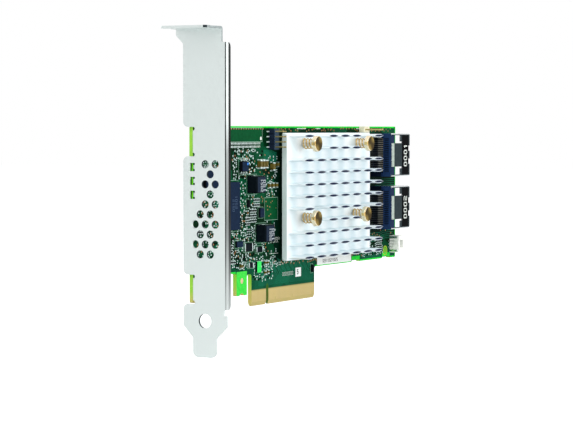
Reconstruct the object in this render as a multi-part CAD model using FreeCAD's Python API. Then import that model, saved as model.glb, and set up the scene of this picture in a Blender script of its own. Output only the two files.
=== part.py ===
import FreeCAD, Part
import math
import os

# RAID controller card: a low-profile circuit board on a full-height bracket.
# Sizes are in millimetres. X runs along the card from the bracket to the rear edge.
# Y runs through the board, with the component side towards -Y, and Z runs upwards.
# The origin is the middle of the key notch, at the foot of the contact edge.

V = FreeCAD.Vector

# Circuit board
board_thickness = 1.57
board_lower_edge = 12.4
board_front_lower_edge = 13.3
board_corner_radius = 0.8
board_inner_radius = 1.0
key_width = 1.9
key_depth = 8.25
front_block_length = 11.65
rear_block_length = 38.65
bevel_height = 1.5
bevel_depth = 0.5
hook_gap = 3.5
hook_width = 8.0
hook_bottom = 4.6
hook_arch_radius = 2.0
hook_arch_depth = 0.9
leg_width = 9.65
leg_bottom = 4.3
breakaway_from_rear = (9.4, 38.7)
breakaway_length = 7.4
breakaway_depth = 0.6
tooling_hole_radius = 1.6
tooling_hole_from_rear = 10.0
tooling_hole_rise = 3.2

# Edge contacts
contact_pitch = 1.0
contact_width = 0.7
contact_top = 5.6
contact_plating = 0.05
contact_to_block_end = 1.1
contact_to_key = 0.55
front_contact_count = 11
rear_contact_count = 38
presence_shortening = 1.1
presence_on_component_side = (17, 31, 48)
presence_on_solder_side = (1,)

# Bracket
bracket_face_to_key = 57.15
bracket_sheet = 0.9
bend_inner_radius = 0.15
bracket_height = 120.02
bracket_width = 18.42
bracket_left = 2.8
bracket_bottom = -15.17
ear_width = 2.99
ear_straight = 3.05
ear_chamfer = 3.0
tab_depth = 11.43
tab_right = -13.3
tab_corner_radius = 1.5
tab_slot_width = 4.4
tab_slot_depth = 7.0
tab_slot_inset = 5.9
neighbour_notch_radius = 2.6
neighbour_notch_depth = 1.0
flange_depth = 2.65
flange_top_drop = 5.75
flange_bottom = 2.3
flange_corner_radius = 1.8
shoulder_top = 0.1
shoulder_bottom = -3.7
shoulder_inset = 0.16
shoulder_relief = 0.35
tongue_left = -1.23
tongue_right = -11.0
tongue_top = -8.0
tongue_corner_radius = 2.2
edge_radius = 1.9
lobe_hole_radius = 2.65
lobe_hole_y = -6.3
lobe_hole_z = -1.94
notch_length = 10.7
upper_notch_below_board_top = 11.0
lower_notch_below_leg = 0.2
lug_end_gap = 1.3
lug_reach = 10.3
lug_corner_radius = 2.0
lug_relief_radius = 0.65
lug_relief_inset = 0.42
lug_hole_from_end = 3.65
vent_radius = 1.5
vent_sides = 16
vent_pitch = 4.2
vent_row_count = 10
vent_column_count = 3
vents_below_notch = 2.85
vent_first_y = -2.25
vent_short_row_count = 5
indicator_slot_width = 2.1
indicator_slot_height = 3.0
indicator_slot_right = -2.1
indicator_pitch = 5.05
indicators_below_notch = 3.9
indicator_count = 3

# Bracket screws
screw_radius = 1.5
screw_head_radius = 2.75
screw_head_height = 1.9
screw_head_chamfer = 0.7
screw_point = 0.7
screw_clearance = 0.2
screw_recess_width = 0.7
screw_recess_length = 2.9
screw_recess_depth = 1.0

# Processor and heatsink
processor_size = 31.0
processor_lid_size = 26.0
processor_substrate = 1.0
processor_height = 1.85
processor_off_centre_x = 0.2
processor_off_centre_z = 6.05
pad_thickness = 0.15
heatsink_front = 8.5
heatsink_above_edge = 4.0
heatsink_below_top = 2.6
heatsink_length = 73.8
heatsink_height = 49.9
heatsink_base = 2.06
heatsink_corner_radius = 0.8
fin_column_count = 7
fin_row_count = 11
fin_end_margin = 5.76
fin_side_margin = 1.2
fin_length = 8.2
fin_width = 1.35
fin_flat = 2.6
fin_rise = 7.15

# Push pins that hold the heatsink down; places count fin columns and rows from the top
push_pin_cells = ((0.784, 0.642), (5.312, 0.663), (0.775, 6.832), (5.062, 6.789))
push_pin_head_radius = 3.1
push_pin_head_height = 1.75
push_pin_head_rise = 6.95
push_pin_head_edge = 0.35
push_pin_shank_radius = 1.25
push_pin_clearance = 0.25
hole_sides = 16
push_pin_barb_radius = 1.85
push_pin_barb_length = 1.7
push_pin_barb_tip = 0.95
push_pin_slit = 0.5
spring_wire = 0.5
spring_base_radius = 2.3
spring_top_radius = 1.95
spring_turns = 3.5
spring_steps_per_turn = 8
spring_wire_sides = 6

# Port connectors at the rear edge
port_shares = (0.7867, 0.3912)
port_width = 18.3
port_height = 8.8
port_to_heatsink = 10.7
port_length = 18.6
port_to_board_rear = 4.1
port_shell_wall = 0.3
port_shell_radius = 0.8
port_shell_start = 0.7
port_shell_floor_start = 5.2
port_strip_depth = 9.7
port_relief_depth = 1.9
port_relief_width = 0.7
port_latch_offset = 2.8
port_latch_width = 2.2
port_latch_depth = 1.4
port_bridge_width = 10.0
port_lip_depth = 2.2
port_lip_rise = 0.2
port_fit = 0.05
port_wall_depth = 4.4
port_cheek_width = 1.7
port_cheek_depth = 1.7
port_lead_drop = 5.1
port_nose_depth = 5.4
port_nose_bottom = 1.2
port_nose_top = 4.3
port_nose_width = 15.6
port_slot_height = 1.5
port_slot_width = 14.6
port_slot_depth = 4.8
port_lead_count = 18
port_lead_pitch = 0.8
port_lead_width = 0.34
port_lead_thickness = 0.2
port_lead_foot = 1.9
port_rib_depth = 0.3
port_label_depth = 6.3
port_label_setback = 1.4
port_label_width = 16.6
port_label_thickness = 0.1

# Test header, two rows of posts
test_header_x = 3.05
test_header_from_top = 5.05
test_header_pitch = 2.0
test_header_rows = 4
test_header_height = 2.6
test_header_notch = 0.4
test_post_width = 0.5
test_post_rise = 6.2
test_foot_reach = 1.7
test_foot_thickness = 0.4

# Indicator header, two posts through the board
lamp_header_past_heatsink = 0.35
lamp_header_from_top = 1.3
lamp_header_pitch = 2.54
lamp_header_height = 2.5
lamp_post_width = 0.64
lamp_post_rise = 9.4
lamp_post_tail = 1.4
lamp_hole_radius = 0.5

# Cable header, a shrouded socket
cable_header_from_rear = 2.8
cable_header_share = 0.1044
cable_header_length = 7.3
cable_header_width = 6.0
cable_header_height = 4.45
cable_header_wall = 1.3
cable_header_end_wall = 2.0
cable_header_floor = 1.2
cable_contact_count = 3
cable_contact_pitch = 1.25
cable_contact_width = 0.35
cable_contact_rise = 3.4
cable_slot_height = 2.2
cable_foot_reach = 1.1
cable_tab_width = 0.9
cable_tab_thickness = 0.2
cable_tab_rise = 3.7
cable_tab_inset = 0.35

# Places on the board are given for this height of its main area
standard_board_height = 56.5

# Chips
memory_x = -28.95
memory_z = 38.9
memory_width = 11.1
memory_length = 18.0
memory_height = 1.2
flash_x = -45.2
flash_z = 49.6
flash_length = 10.3
flash_width = 7.5
flash_height = 2.2
flash_leads_per_side = 8
regulator_x = -19.7
regulator_z = 53.65
regulator_length = 4.9
regulator_width = 3.9
regulator_height = 1.5
regulator_leads_per_side = 4
lead_pitch = 1.27
lead_width = 0.42
lead_thickness = 0.2
lead_reach = 1.05
lead_foot = 0.55
mould_draft = 0.18
chip_standoff = 0.1

# Power parts
inductor_places = ((-12.25, 46.7), (-5.4, 27.8))
inductor_length = 7.2
inductor_width = 6.6
inductor_height = 4.45
inductor_edge = 0.4
inductor_clip_width = 2.6
inductor_clip_thickness = 0.15
inductor_clip_rise = 1.5
fuse_x = -7.8
fuse_z = 14.9
fuse_width = 3.3
fuse_length = 4.4
fuse_height = 0.9

# Small parts
logic_places = ((-5.35, 35.65, 3.3, 3.5), (-22.85, 24.3, 4.7, 2.2))
logic_height = 0.9
transistor_places = ((-15.6, 39.4), (37.2, 11.8))
transistor_length = 2.9
transistor_width = 1.4
transistor_height = 1.0
shunt_places = ((-15.4, 22.8, 6.1, 3.0), (-6.8, 21.6, 5.2, 2.0), (-13.6, 15.9, 3.6, 1.8))
shunt_height = 0.6
large_capacitor_places = ((-7.0, 54.35), (-4.75, 54.35), (-2.5, 54.35), (3.2, 53.3))
large_capacitor_size = (1.7, 3.2, 1.6)
small_capacitor_places = ((0.9, 46.0), (3.9, 46.0), (6.6, 46.0), (7.7, 54.0), (-21.3, 15.9))
small_capacitor_size = (1.25, 2.1, 1.0)
lower_capacitor_places = ((-2.3, 16.2), (-0.4, 16.2), (-2.3, 12.4), (0.0, 12.6))
lower_capacitor_size = (0.9, 1.7, 0.8)
end_cap_length = 0.45
end_cap_proud = 0.04
resistor_size = (0.55, 1.05, 0.4)
front_resistor_groups = (
    (-13.4, 36.6, 1.3),
    (-17.0, 33.6, 1.2),
    (-15.8, 29.2, 1.4),
    (-10.6, 40.6, 1.3),
    (-30.5, 23.6, 1.4),
    (-29.5, 17.6, 1.3),
    (-52.6, 30.0, 1.5),
)
front_resistor_counts = ((4, 3), (3, 2), (3, 2), (4, 2), (3, 2), (4, 1), (3, 1))
rear_resistor_groups = ((-7.4, 20.4, 1.6), (4.0, 20.0, 1.5), (-6.0, 45.2, 1.5))
rear_resistor_counts = ((4, 2), (4, 2), (3, 1))
resistor_row_pitch = 1.9
indicator_lamp_depth = 1.2
indicator_lamp_height = 1.6
indicator_lamp_rise = 1.0
small_label = (25.6, 11.0, 4.6, 3.6)
long_label = (57.3, 14.3, 30.8, 3.0)
label_thickness = 0.1
backside_column_count = 6
backside_row_count = 4
backside_pitch = 2.6

# Worked-out places
board_front = -board_thickness / 2
board_back = board_thickness / 2
heatsink_rear = heatsink_front + heatsink_length
heatsink_x = heatsink_front + heatsink_length / 2
heatsink_lower = board_lower_edge + heatsink_above_edge
heatsink_z = heatsink_lower + heatsink_height / 2
board_top = heatsink_lower + heatsink_height + heatsink_below_top
board_height = board_top - board_lower_edge
fin_column_pitch = (heatsink_length - 2 * fin_end_margin) / (fin_column_count - 1)
fin_row_pitch = (heatsink_height - 2 * fin_side_margin) / (fin_row_count - 1)
processor_x = heatsink_x + processor_off_centre_x
processor_z = heatsink_z + processor_off_centre_z
port_rear = heatsink_rear + port_to_heatsink
port_mouth = port_rear + port_length
port_centres = [board_lower_edge + share * board_height for share in port_shares]
board_rear = port_mouth + port_to_board_rear
breakaway_centres = [board_rear - reach for reach in breakaway_from_rear]
tooling_hole_x = board_rear - tooling_hole_from_rear
tooling_hole_z = board_lower_edge + tooling_hole_rise
test_header_z = board_top - test_header_from_top
lamp_header_x = heatsink_rear + lamp_header_past_heatsink
lamp_header_z = board_top - lamp_header_from_top
cable_header_x = board_rear - cable_header_from_rear
cable_header_z = board_lower_edge + cable_header_share * board_height
upper_notch_bottom = board_top - upper_notch_below_board_top
lower_notch_bottom = leg_bottom - lower_notch_below_leg
vent_first_z = upper_notch_bottom - vents_below_notch
indicator_top_z = upper_notch_bottom - indicators_below_notch
bracket_outer = -bracket_face_to_key
bracket_back = bracket_outer + bracket_sheet
bracket_right = bracket_left - bracket_width
bracket_top = bracket_bottom + bracket_height
ear_chamfer_top = bracket_top - ear_straight
ear_chamfer_bottom = ear_chamfer_top - ear_chamfer
flange_top = bracket_top - flange_top_drop
bend_outer_radius = bend_inner_radius + bracket_sheet
board_front_end = bracket_back + 0.1
block_front_end = -key_width / 2 - front_block_length
block_rear_end = key_width / 2 + rear_block_length
hook_rear = block_front_end - hook_gap
hook_front = hook_rear - hook_width
leg_rear = board_front_end + leg_width
lug_fold = board_front - bend_outer_radius
lug_end = bracket_outer + lug_reach
lug_hole_x = lug_end - lug_hole_from_end
upper_lug_z = upper_notch_bottom + notch_length / 2
lower_lug_z = lower_notch_bottom + notch_length / 2
heatsink_level = processor_height + pad_thickness
fin_level = heatsink_level + heatsink_base
fin_tip_level = fin_level + fin_rise
push_pin_head_level = fin_level + push_pin_head_rise - push_pin_head_height
push_pin_hole_radius = push_pin_shank_radius + push_pin_clearance


def above(level):
    """Y of a level measured outwards from the component side of the board."""
    return board_front - level


def behind(level):
    """Y of a level measured outwards from the solder side of the board."""
    return board_back + level


def block(x_range, y_range, z_range):
    """Rectangular solid between pairs of limits, given in either order."""
    x_low, x_high = sorted(x_range)
    y_low, y_high = sorted(y_range)
    z_low, z_high = sorted(z_range)
    corner = V(x_low, y_low, z_low)
    return Part.makeBox(x_high - x_low, y_high - y_low, z_high - z_low, corner)


def standing_block(x, z, size_x, size_z, low, high):
    """Rectangular solid centred on a place of the component side, between two levels."""
    x_range = (x - size_x / 2, x + size_x / 2)
    z_range = (z - size_z / 2, z + size_z / 2)
    return block(x_range, (above(low), above(high)), z_range)


def at_height(z):
    """Z on this board of a place given for the standard one, kept in proportion."""
    return board_lower_edge + (z - board_lower_edge) * board_height / standard_board_height


def many_sided_post(x, z, radius, low, high):
    """Solid along Y with many flat sides that clear a round post of this radius."""
    reach = radius / math.cos(math.pi / hole_sides)
    turns = [2 * math.pi * n / hole_sides for n in range(hole_sides)]
    start, end = sorted((low, high))
    points = [V(x + reach * math.cos(t), start, z + reach * math.sin(t)) for t in turns]
    face = Part.Face(Part.makePolygon(points + points[:1]))
    return face.extrude(V(0, end - start, 0))


def post(x, z, radius, low, high):
    """Round solid along Y, centred on a place of the board, between two Y values."""
    start, end = sorted((low, high))
    return Part.makeCylinder(radius, end - start, V(x, start, z), V(0, 1, 0))


def fuse(shapes):
    """One solid from shapes that touch."""
    return shapes[0].multiFuse(shapes[1:]).removeSplitter()


def rounded_face(corners, place):
    """Flat face inside corners (u, v, radius); place turns u and v into a point."""
    edges = []
    starts = []
    ends = []
    for index, (u, v, radius) in enumerate(corners):
        before = corners[index - 1]
        after = corners[(index + 1) % len(corners)]
        to_before = V(before[0] - u, before[1] - v, 0).normalize()
        to_after = V(after[0] - u, after[1] - v, 0).normalize()
        corner = V(u, v, 0)
        half_angle = to_before.getAngle(to_after) / 2
        if radius > 0:
            reach = radius / math.tan(half_angle)
            bisector = (to_before + to_after).normalize()
            middle = corner + bisector * (radius / math.sin(half_angle) - radius)
            start = corner + to_before * reach
            end = corner + to_after * reach
            arc = Part.Arc(place(start.x, start.y), place(middle.x, middle.y), place(end.x, end.y))
            edges.append(arc.toShape())
        else:
            start = corner
            end = corner
        starts.append(start)
        ends.append(end)
    for index, end in enumerate(ends):
        start = starts[(index + 1) % len(starts)]
        if end.distanceToPoint(start) > 1e-6:
            line = Part.makeLine(place(end.x, end.y), place(start.x, start.y))
            edges.append(line)
    return Part.Face(Part.Wire(Part.__sortEdges__(edges)))


def in_xz(y):
    """Place (x, z) corners on the plane at this Y."""
    return lambda u, v: V(u, y, v)


def in_yz(x):
    """Place (y, z) corners on the plane at this X."""
    return lambda u, v: V(x, u, v)


def in_xy(z):
    """Place (x, y) corners on the plane at this Z."""
    return lambda u, v: V(u, v, z)


def push_pin_places():
    """Places (x, z) of the push pins, counted in fin pitches from the upper front fin."""
    columns, rows = fin_centres()
    x = columns[0]
    z = rows[0]
    return [(x + u * fin_column_pitch, z - v * fin_row_pitch) for u, v in push_pin_cells]


def breakaway_cuts():
    """Shallow bites in the lower edge where the board was broken out of its panel."""
    cuts = []
    for centre in breakaway_centres:
        half = breakaway_length / 2
        x_range = (centre - half, centre + half)
        z_range = (board_lower_edge - 1, board_lower_edge + breakaway_depth)
        cuts.append(block(x_range, (board_front - 1, board_back + 1), z_range))
    return cuts


def bevel_cut(side):
    """Wedge that bevels the contact edge on one face; side is -1 or 1."""
    face = side * board_thickness / 2
    beyond = face + side
    foot = face - side * bevel_depth
    corners = (
        (beyond, -1, 0),
        (beyond, bevel_height, 0),
        (face, bevel_height, 0),
        (foot, 0, 0),
        (foot, -1, 0),
    )
    wedge = rounded_face(corners, in_yz(block_front_end - 0.5))
    return wedge.extrude(V(block_rear_end - block_front_end + 1, 0, 0))


def circuit_board():
    """Board outline with contact edge, key notch, hook, bracket leg and holes."""
    corner = board_corner_radius
    inner = board_inner_radius
    half_key = key_width / 2
    key_round = half_key - 0.01
    outline = (
        (board_front_end, board_top, corner),
        (board_rear, board_top, corner),
        (board_rear, board_lower_edge, corner),
        (block_rear_end, board_lower_edge, inner),
        (block_rear_end, 0, corner),
        (half_key, 0, 0.5),
        (half_key, key_depth, key_round),
        (-half_key, key_depth, key_round),
        (-half_key, 0, 0.5),
        (block_front_end, 0, corner),
        (block_front_end, board_lower_edge, inner),
        (hook_rear, board_lower_edge, inner),
        (hook_rear, hook_bottom, 0.4),
        (hook_front, hook_bottom, 0.4),
        (hook_front, board_front_lower_edge, inner),
        (leg_rear, board_front_lower_edge, inner),
        (leg_rear, leg_bottom, corner),
        (board_front_end, leg_bottom, corner),
    )
    face = rounded_face(outline, in_xz(board_front))
    board = face.extrude(V(0, board_thickness, 0))
    low = board_front - 1
    high = board_back + 1
    hook_x = (hook_front + hook_rear) / 2
    arch_z = hook_bottom + hook_arch_depth - hook_arch_radius
    cuts = [post(hook_x, arch_z, hook_arch_radius, low, high)]
    cuts.append(post(tooling_hole_x, tooling_hole_z, tooling_hole_radius, low, high))
    for z in (upper_lug_z, lower_lug_z):
        cuts.append(post(lug_hole_x, z, screw_radius + screw_clearance, low, high))
    for x, z in push_pin_places():
        cuts.append(many_sided_post(x, z, push_pin_hole_radius, low, high))
    for x in lamp_post_places():
        cuts.append(many_sided_post(x, lamp_header_z, lamp_hole_radius, low, high))
    cuts.extend(breakaway_cuts())
    cuts.append(bevel_cut(-1))
    cuts.append(bevel_cut(1))
    return board.cut(Part.makeCompound(cuts))


def contact_centres():
    """X of each contact, counted from the bracket's end."""
    first_front = block_front_end + contact_to_block_end
    first_rear = key_width / 2 + contact_to_key
    front = [first_front + contact_pitch * n for n in range(front_contact_count)]
    rear = [first_rear + contact_pitch * n for n in range(rear_contact_count)]
    return front + rear


def edge_contacts():
    """Gold pads on both faces; the presence contacts start higher than the rest."""
    sides = (
        (above(0), above(contact_plating), presence_on_component_side),
        (behind(0), behind(contact_plating), presence_on_solder_side),
    )
    pads = []
    for near, far, presence in sides:
        for number, x in enumerate(contact_centres(), start=1):
            low = bevel_height + (presence_shortening if number in presence else 0)
            x_range = (x - contact_width / 2, x + contact_width / 2)
            pads.append(block(x_range, (near, far), (low, contact_top)))
    return Part.makeCompound(pads)


def face_outline():
    """Corners (y, z, radius) of the bracket's flat face, without its bends."""
    flat_top = bracket_top - bend_outer_radius
    flat_right = bracket_right + bend_outer_radius
    ear = bracket_left + ear_width
    relief = flat_right + shoulder_relief
    shoulder = bracket_right + shoulder_inset
    upper_top = upper_notch_bottom + notch_length
    lower_top = lower_notch_bottom + notch_length
    return (
        (ear, flat_top, 0),
        (tab_right, flat_top, 0),
        (tab_right, flange_top, 0.5),
        (flat_right, flange_top, 0),
        (flat_right, flange_bottom, 0),
        (relief, flange_bottom, 0),
        (relief, shoulder_top, 0),
        (shoulder, shoulder_top, 0.4),
        (shoulder, shoulder_bottom, 1.0),
        (tongue_right, tongue_top, 1.2),
        (tongue_right, bracket_bottom, tongue_corner_radius),
        (tongue_left, bracket_bottom, tongue_corner_radius),
        (tongue_left, tongue_top, 1.2),
        (bracket_left, shoulder_bottom, 1.0),
        (bracket_left, lower_notch_bottom, edge_radius),
        (lug_fold, lower_notch_bottom, 0),
        (lug_fold, lower_top, 0),
        (bracket_left, lower_top, edge_radius),
        (bracket_left, upper_notch_bottom, edge_radius),
        (lug_fold, upper_notch_bottom, 0),
        (lug_fold, upper_top, 0),
        (bracket_left, upper_top, edge_radius),
        (bracket_left, ear_chamfer_bottom, 0.6),
        (ear, ear_chamfer_top, 0.6),
    )


def bent_section(face, fold, edge, far, inwards, place):
    """Section of a right-angle bend whose outer surface runs from face round to edge."""
    direction = 1 if far > face else -1
    inner = bend_inner_radius
    outer = bend_outer_radius
    centre = face + direction * outer
    slant = math.sqrt(0.5)

    def point(radius, along, across):
        return place(centre + direction * radius * along, fold + inwards * radius * across)

    outer_arc = Part.Arc(point(outer, -1, 0), point(outer, -slant, slant), point(outer, 0, 1))
    inner_arc = Part.Arc(point(inner, 0, 1), point(inner, -slant, slant), point(inner, -1, 0))
    sheet = edge - inwards * bracket_sheet
    edges = [outer_arc.toShape(), inner_arc.toShape()]
    edges.append(Part.makeLine(point(outer, 0, 1), place(far, edge)))
    edges.append(Part.makeLine(place(far, edge), place(far, sheet)))
    edges.append(Part.makeLine(place(far, sheet), point(inner, 0, 1)))
    edges.append(Part.makeLine(point(inner, -1, 0), point(outer, -1, 0)))
    return Part.Face(Part.Wire(Part.__sortEdges__(edges)))


def side_flange():
    """Stiffening flange along the component side, with rounded far corners."""
    far = bracket_outer + flange_depth
    fold = bracket_right + bend_outer_radius
    place = in_xy(flange_bottom)
    section = bent_section(bracket_outer, fold, bracket_right, far, -1, place)
    flange = section.extrude(V(0, 0, flange_top - flange_bottom))
    keep = (
        (bracket_outer, flange_bottom, 0),
        (far, flange_bottom, flange_corner_radius),
        (far, flange_top, flange_corner_radius),
        (bracket_outer, flange_top, 0),
    )
    mask = rounded_face(keep, in_xz(bracket_right - 1)).extrude(V(0, bend_outer_radius + 2, 0))
    return flange.common(mask)


def board_lug(middle):
    """Lug folded back onto the component side of the board, with its tapped hole."""
    half = notch_length / 2 - lug_end_gap
    place = in_xy(middle - half)
    section = bent_section(bracket_outer, lug_fold, board_front, lug_end, 1, place)
    lug = section.extrude(V(0, 0, 2 * half))
    keep = (
        (bracket_outer, middle - half, 0),
        (lug_end, middle - half, lug_corner_radius),
        (lug_end, middle + half, lug_corner_radius),
        (bracket_outer, middle + half, 0),
    )
    mask = rounded_face(keep, in_xz(lug_fold - 1)).extrude(V(0, bend_outer_radius + 2, 0))
    hole = post(lug_hole_x, middle, screw_radius, above(-1), above(bracket_sheet + 1))
    return lug.common(mask).cut(hole)


def top_tab():
    """Tab bent outwards at the top, slotted for the chassis screw."""
    far = bracket_outer - tab_depth
    fold = bracket_top - bend_outer_radius
    ear = bracket_left + ear_width
    section = bent_section(bracket_back, fold, bracket_top, far, 1, in_xz(tab_right))
    tab = section.extrude(V(0, ear - tab_right, 0))
    keep = (
        (bracket_back, tab_right, 0),
        (far, tab_right, tab_corner_radius),
        (far, ear, tab_corner_radius),
        (bracket_back, ear, 0),
    )
    depth = bend_outer_radius + 2
    mask = rounded_face(keep, in_xy(fold - 1)).extrude(V(0, 0, depth))
    slot_x = bracket_outer - tab_slot_inset
    slot_radius = tab_slot_width / 2
    slot_end = ear - tab_slot_depth + slot_radius
    base = fold - 1
    slot_run = (slot_x - slot_radius, slot_x + slot_radius)
    slot = block(slot_run, (slot_end, ear + 1), (base, base + depth))
    slot_round = Part.makeCylinder(slot_radius, depth, V(slot_x, slot_end, base))
    notch_y = tab_right + neighbour_notch_depth - neighbour_notch_radius
    notch = Part.makeCylinder(neighbour_notch_radius, depth, V(slot_x, notch_y, base))
    return tab.common(mask).cut(Part.makeCompound([slot, slot_round, notch]))


def vent_places():
    """Staggered vent centres (y, z); the upper rows stay clear of the indicator slots."""
    places = []
    row_pitch = vent_pitch * math.sqrt(3) / 2
    for row in range(vent_row_count):
        staggered = row % 2 == 1
        columns = vent_column_count - 1 if staggered else vent_column_count
        first = 1 if row < vent_short_row_count else 0
        for column in range(first, columns):
            shift = vent_pitch * (column + (0.5 if staggered else 0))
            places.append((vent_first_y - shift, vent_first_z - row * row_pitch))
    return places


def vent_cut(start, length, y, z):
    """Vent of many flat sides through the sheet."""
    turns = [2 * math.pi * (n + 0.5) / vent_sides for n in range(vent_sides)]
    points = [V(start, y + vent_radius * math.cos(t), z + vent_radius * math.sin(t)) for t in turns]
    face = Part.Face(Part.makePolygon(points + points[:1]))
    return face.extrude(V(length, 0, 0))


def indicator_levels():
    """Z of each indicator, from the top down."""
    return [indicator_top_z - indicator_pitch * n for n in range(indicator_count)]


def face_holes():
    """Vents, indicator slots, the lower hole and the fold reliefs of the bracket."""
    start = bracket_outer - 1
    length = bracket_sheet + 2
    along = V(1, 0, 0)
    cuts = [vent_cut(start, length, y, z) for y, z in vent_places()]
    lobe_centre = V(start, lobe_hole_y, lobe_hole_z)
    cuts.append(Part.makeCylinder(lobe_hole_radius, length, lobe_centre, along))
    for z in indicator_levels():
        y_range = (indicator_slot_right, indicator_slot_right + indicator_slot_width)
        half = indicator_slot_height / 2
        cuts.append(block((start, start + length), y_range, (z - half, z + half)))
    relief_y = lug_fold + lug_relief_inset
    for bottom in (upper_notch_bottom, lower_notch_bottom):
        for z in (bottom + lug_relief_radius, bottom + notch_length - lug_relief_radius):
            cuts.append(Part.makeCylinder(lug_relief_radius, length, V(start, relief_y, z), along))
    return Part.makeCompound(cuts)


def bracket():
    """Full-height bracket folded from one sheet."""
    plate = rounded_face(face_outline(), in_yz(bracket_outer)).extrude(V(bracket_sheet, 0, 0))
    folds = [side_flange(), board_lug(upper_lug_z), board_lug(lower_lug_z), top_tab()]
    return fuse([plate.cut(face_holes())] + folds)


def bracket_screw(z):
    """Pan-head screw put in from the solder side and tightened in the lug's thread."""
    tip = above(bracket_sheet + screw_point)
    head_top = behind(screw_head_height)
    shank = post(lug_hole_x, z, screw_radius, tip, behind(0))
    head = post(lug_hole_x, z, screw_head_radius, behind(0), head_top)
    rim = [edge for edge in head.Edges if abs(edge.BoundBox.YMin - head_top) < 1e-6]
    head = head.makeChamfer(screw_head_chamfer, [e for e in rim if e.BoundBox.YLength < 1e-6])
    half = screw_recess_width / 2
    reach = screw_recess_length / 2
    depth_range = (head_top - screw_recess_depth, head_top + 1)
    x_narrow = (lug_hole_x - half, lug_hole_x + half)
    x_wide = (lug_hole_x - reach, lug_hole_x + reach)
    cross = [block(x_narrow, depth_range, (z - reach, z + reach))]
    cross.append(block(x_wide, depth_range, (z - half, z + half)))
    return fuse([head.cut(Part.makeCompound(cross)), shank])


def bracket_screws():
    """Both screws that tie the board to the bracket's lugs."""
    return Part.makeCompound([bracket_screw(z) for z in (upper_lug_z, lower_lug_z)])


def fin_centres():
    """Column and row centres of the fin field, from the top bracket-side corner."""
    first_x = heatsink_front + fin_end_margin
    first_z = heatsink_lower + heatsink_height - fin_side_margin
    columns = [first_x + fin_column_pitch * n for n in range(fin_column_count)]
    rows = [first_z - fin_row_pitch * n for n in range(fin_row_count)]
    return columns, rows


def fins_left_out():
    """Fins missing round each push pin: two in the nearest row and one in the next."""
    columns, rows = fin_centres()
    missing = set()
    for x, z in push_pin_places():
        near_rows = sorted(range(fin_row_count), key=lambda n: abs(rows[n] - z))
        near_columns = sorted(range(fin_column_count), key=lambda n: abs(columns[n] - x))
        missing.add((near_columns[0], near_rows[0]))
        missing.add((near_columns[1], near_rows[0]))
        missing.add((near_columns[0], near_rows[1]))
    return missing


def lens_fin(x, z):
    """Fin of lens-shaped section: flat cheeks that taper to a sharp edge at each end."""
    half = fin_length / 2
    bulge = fin_width / 2
    flat = fin_flat / 2
    corners = (
        (x - half, z, 0),
        (x - flat, z - bulge, 0),
        (x + flat, z - bulge, 0),
        (x + half, z, 0),
        (x + flat, z + bulge, 0),
        (x - flat, z + bulge, 0),
    )
    return rounded_face(corners, in_xz(above(fin_level))).extrude(V(0, -fin_rise, 0))


def heatsink():
    """Base plate, bored for the push pins, with a field of lens-shaped fins."""
    low_z = heatsink_lower
    high_z = heatsink_lower + heatsink_height
    corner = heatsink_corner_radius
    outline = ((heatsink_front, low_z, corner), (heatsink_rear, low_z, corner))
    outline += ((heatsink_rear, high_z, corner), (heatsink_front, high_z, corner))
    face = rounded_face(outline, in_xz(above(heatsink_level)))
    base = face.extrude(V(0, -heatsink_base, 0))
    for x, z in push_pin_places():
        low, high = above(heatsink_level - 1), above(fin_level + 1)
        base = base.cut(many_sided_post(x, z, push_pin_hole_radius, low, high))
    columns, rows = fin_centres()
    missing = fins_left_out()
    fins = []
    for column, x in enumerate(columns):
        for row, z in enumerate(rows):
            if (column, row) not in missing:
                fins.append(lens_fin(x, z))
    return fuse([base] + fins)


def push_pin(x, z):
    """Turned pin: chamfered head, shank and a split barb behind the board."""
    head_low = above(push_pin_head_level)
    head_high = above(push_pin_head_level + push_pin_head_height)
    bevel = push_pin_head_edge
    barb_start = behind(0)
    barb_end = behind(push_pin_barb_length)
    shank = push_pin_shank_radius
    head = push_pin_head_radius
    points = (
        (0, head_high),
        (head - bevel, head_high),
        (head, head_high + bevel),
        (head, head_low),
        (shank, head_low),
        (shank, barb_start),
        (push_pin_barb_radius, barb_start),
        (push_pin_barb_tip, barb_end),
        (0, barb_end),
    )
    outline = Part.makePolygon([V(x + radius, y, z) for radius, y in points + points[:1]])
    turned = Part.Face(outline).revolve(V(x, 0, z), V(0, 1, 0), 360)
    half = push_pin_slit / 2
    slit_start = 0
    slit_x = (x - half, x + half)
    slit_z = (z - head, z + head)
    return turned.cut(block(slit_x, (slit_start, barb_end + 1), slit_z))


def push_pins():
    """All four push pins."""
    return Part.makeCompound([push_pin(x, z) for x, z in push_pin_places()])


def heatsink_spring(x, z):
    """Tapered coil spring between the heatsink's seat and the push pin's head."""
    radius = spring_wire / 2
    start = fin_level + radius
    height = push_pin_head_level - fin_level - spring_wire
    steps = int(spring_turns * spring_steps_per_turn)
    sections = []
    for step in range(steps + 1):
        part = step / steps
        turn = 2 * math.pi * spring_turns * part
        outwards = V(math.cos(turn), 0, math.sin(turn))
        coil_radius = spring_base_radius + (spring_top_radius - spring_base_radius) * part
        centre = V(x, above(start + height * part), z) + outwards * coil_radius
        corners = []
        for corner in range(spring_wire_sides):
            angle = 2 * math.pi * corner / spring_wire_sides
            across = outwards * (radius * math.cos(angle))
            corners.append(centre + across + V(0, radius * math.sin(angle), 0))
        sections.append(Part.makePolygon(corners + corners[:1]))
    return Part.makeLoft(sections, True, True)


def heatsink_springs():
    """The spring of each push pin."""
    return Part.makeCompound([heatsink_spring(x, z) for x, z in push_pin_places()])


def raid_processor():
    """Ball-grid package: substrate below a smaller lid."""
    size = processor_size
    lid = processor_lid_size
    level = processor_substrate
    base = standing_block(processor_x, processor_z, size, size, 0, level)
    cap = standing_block(processor_x, processor_z, lid, lid, level, processor_height)
    return fuse([base, cap])


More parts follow.
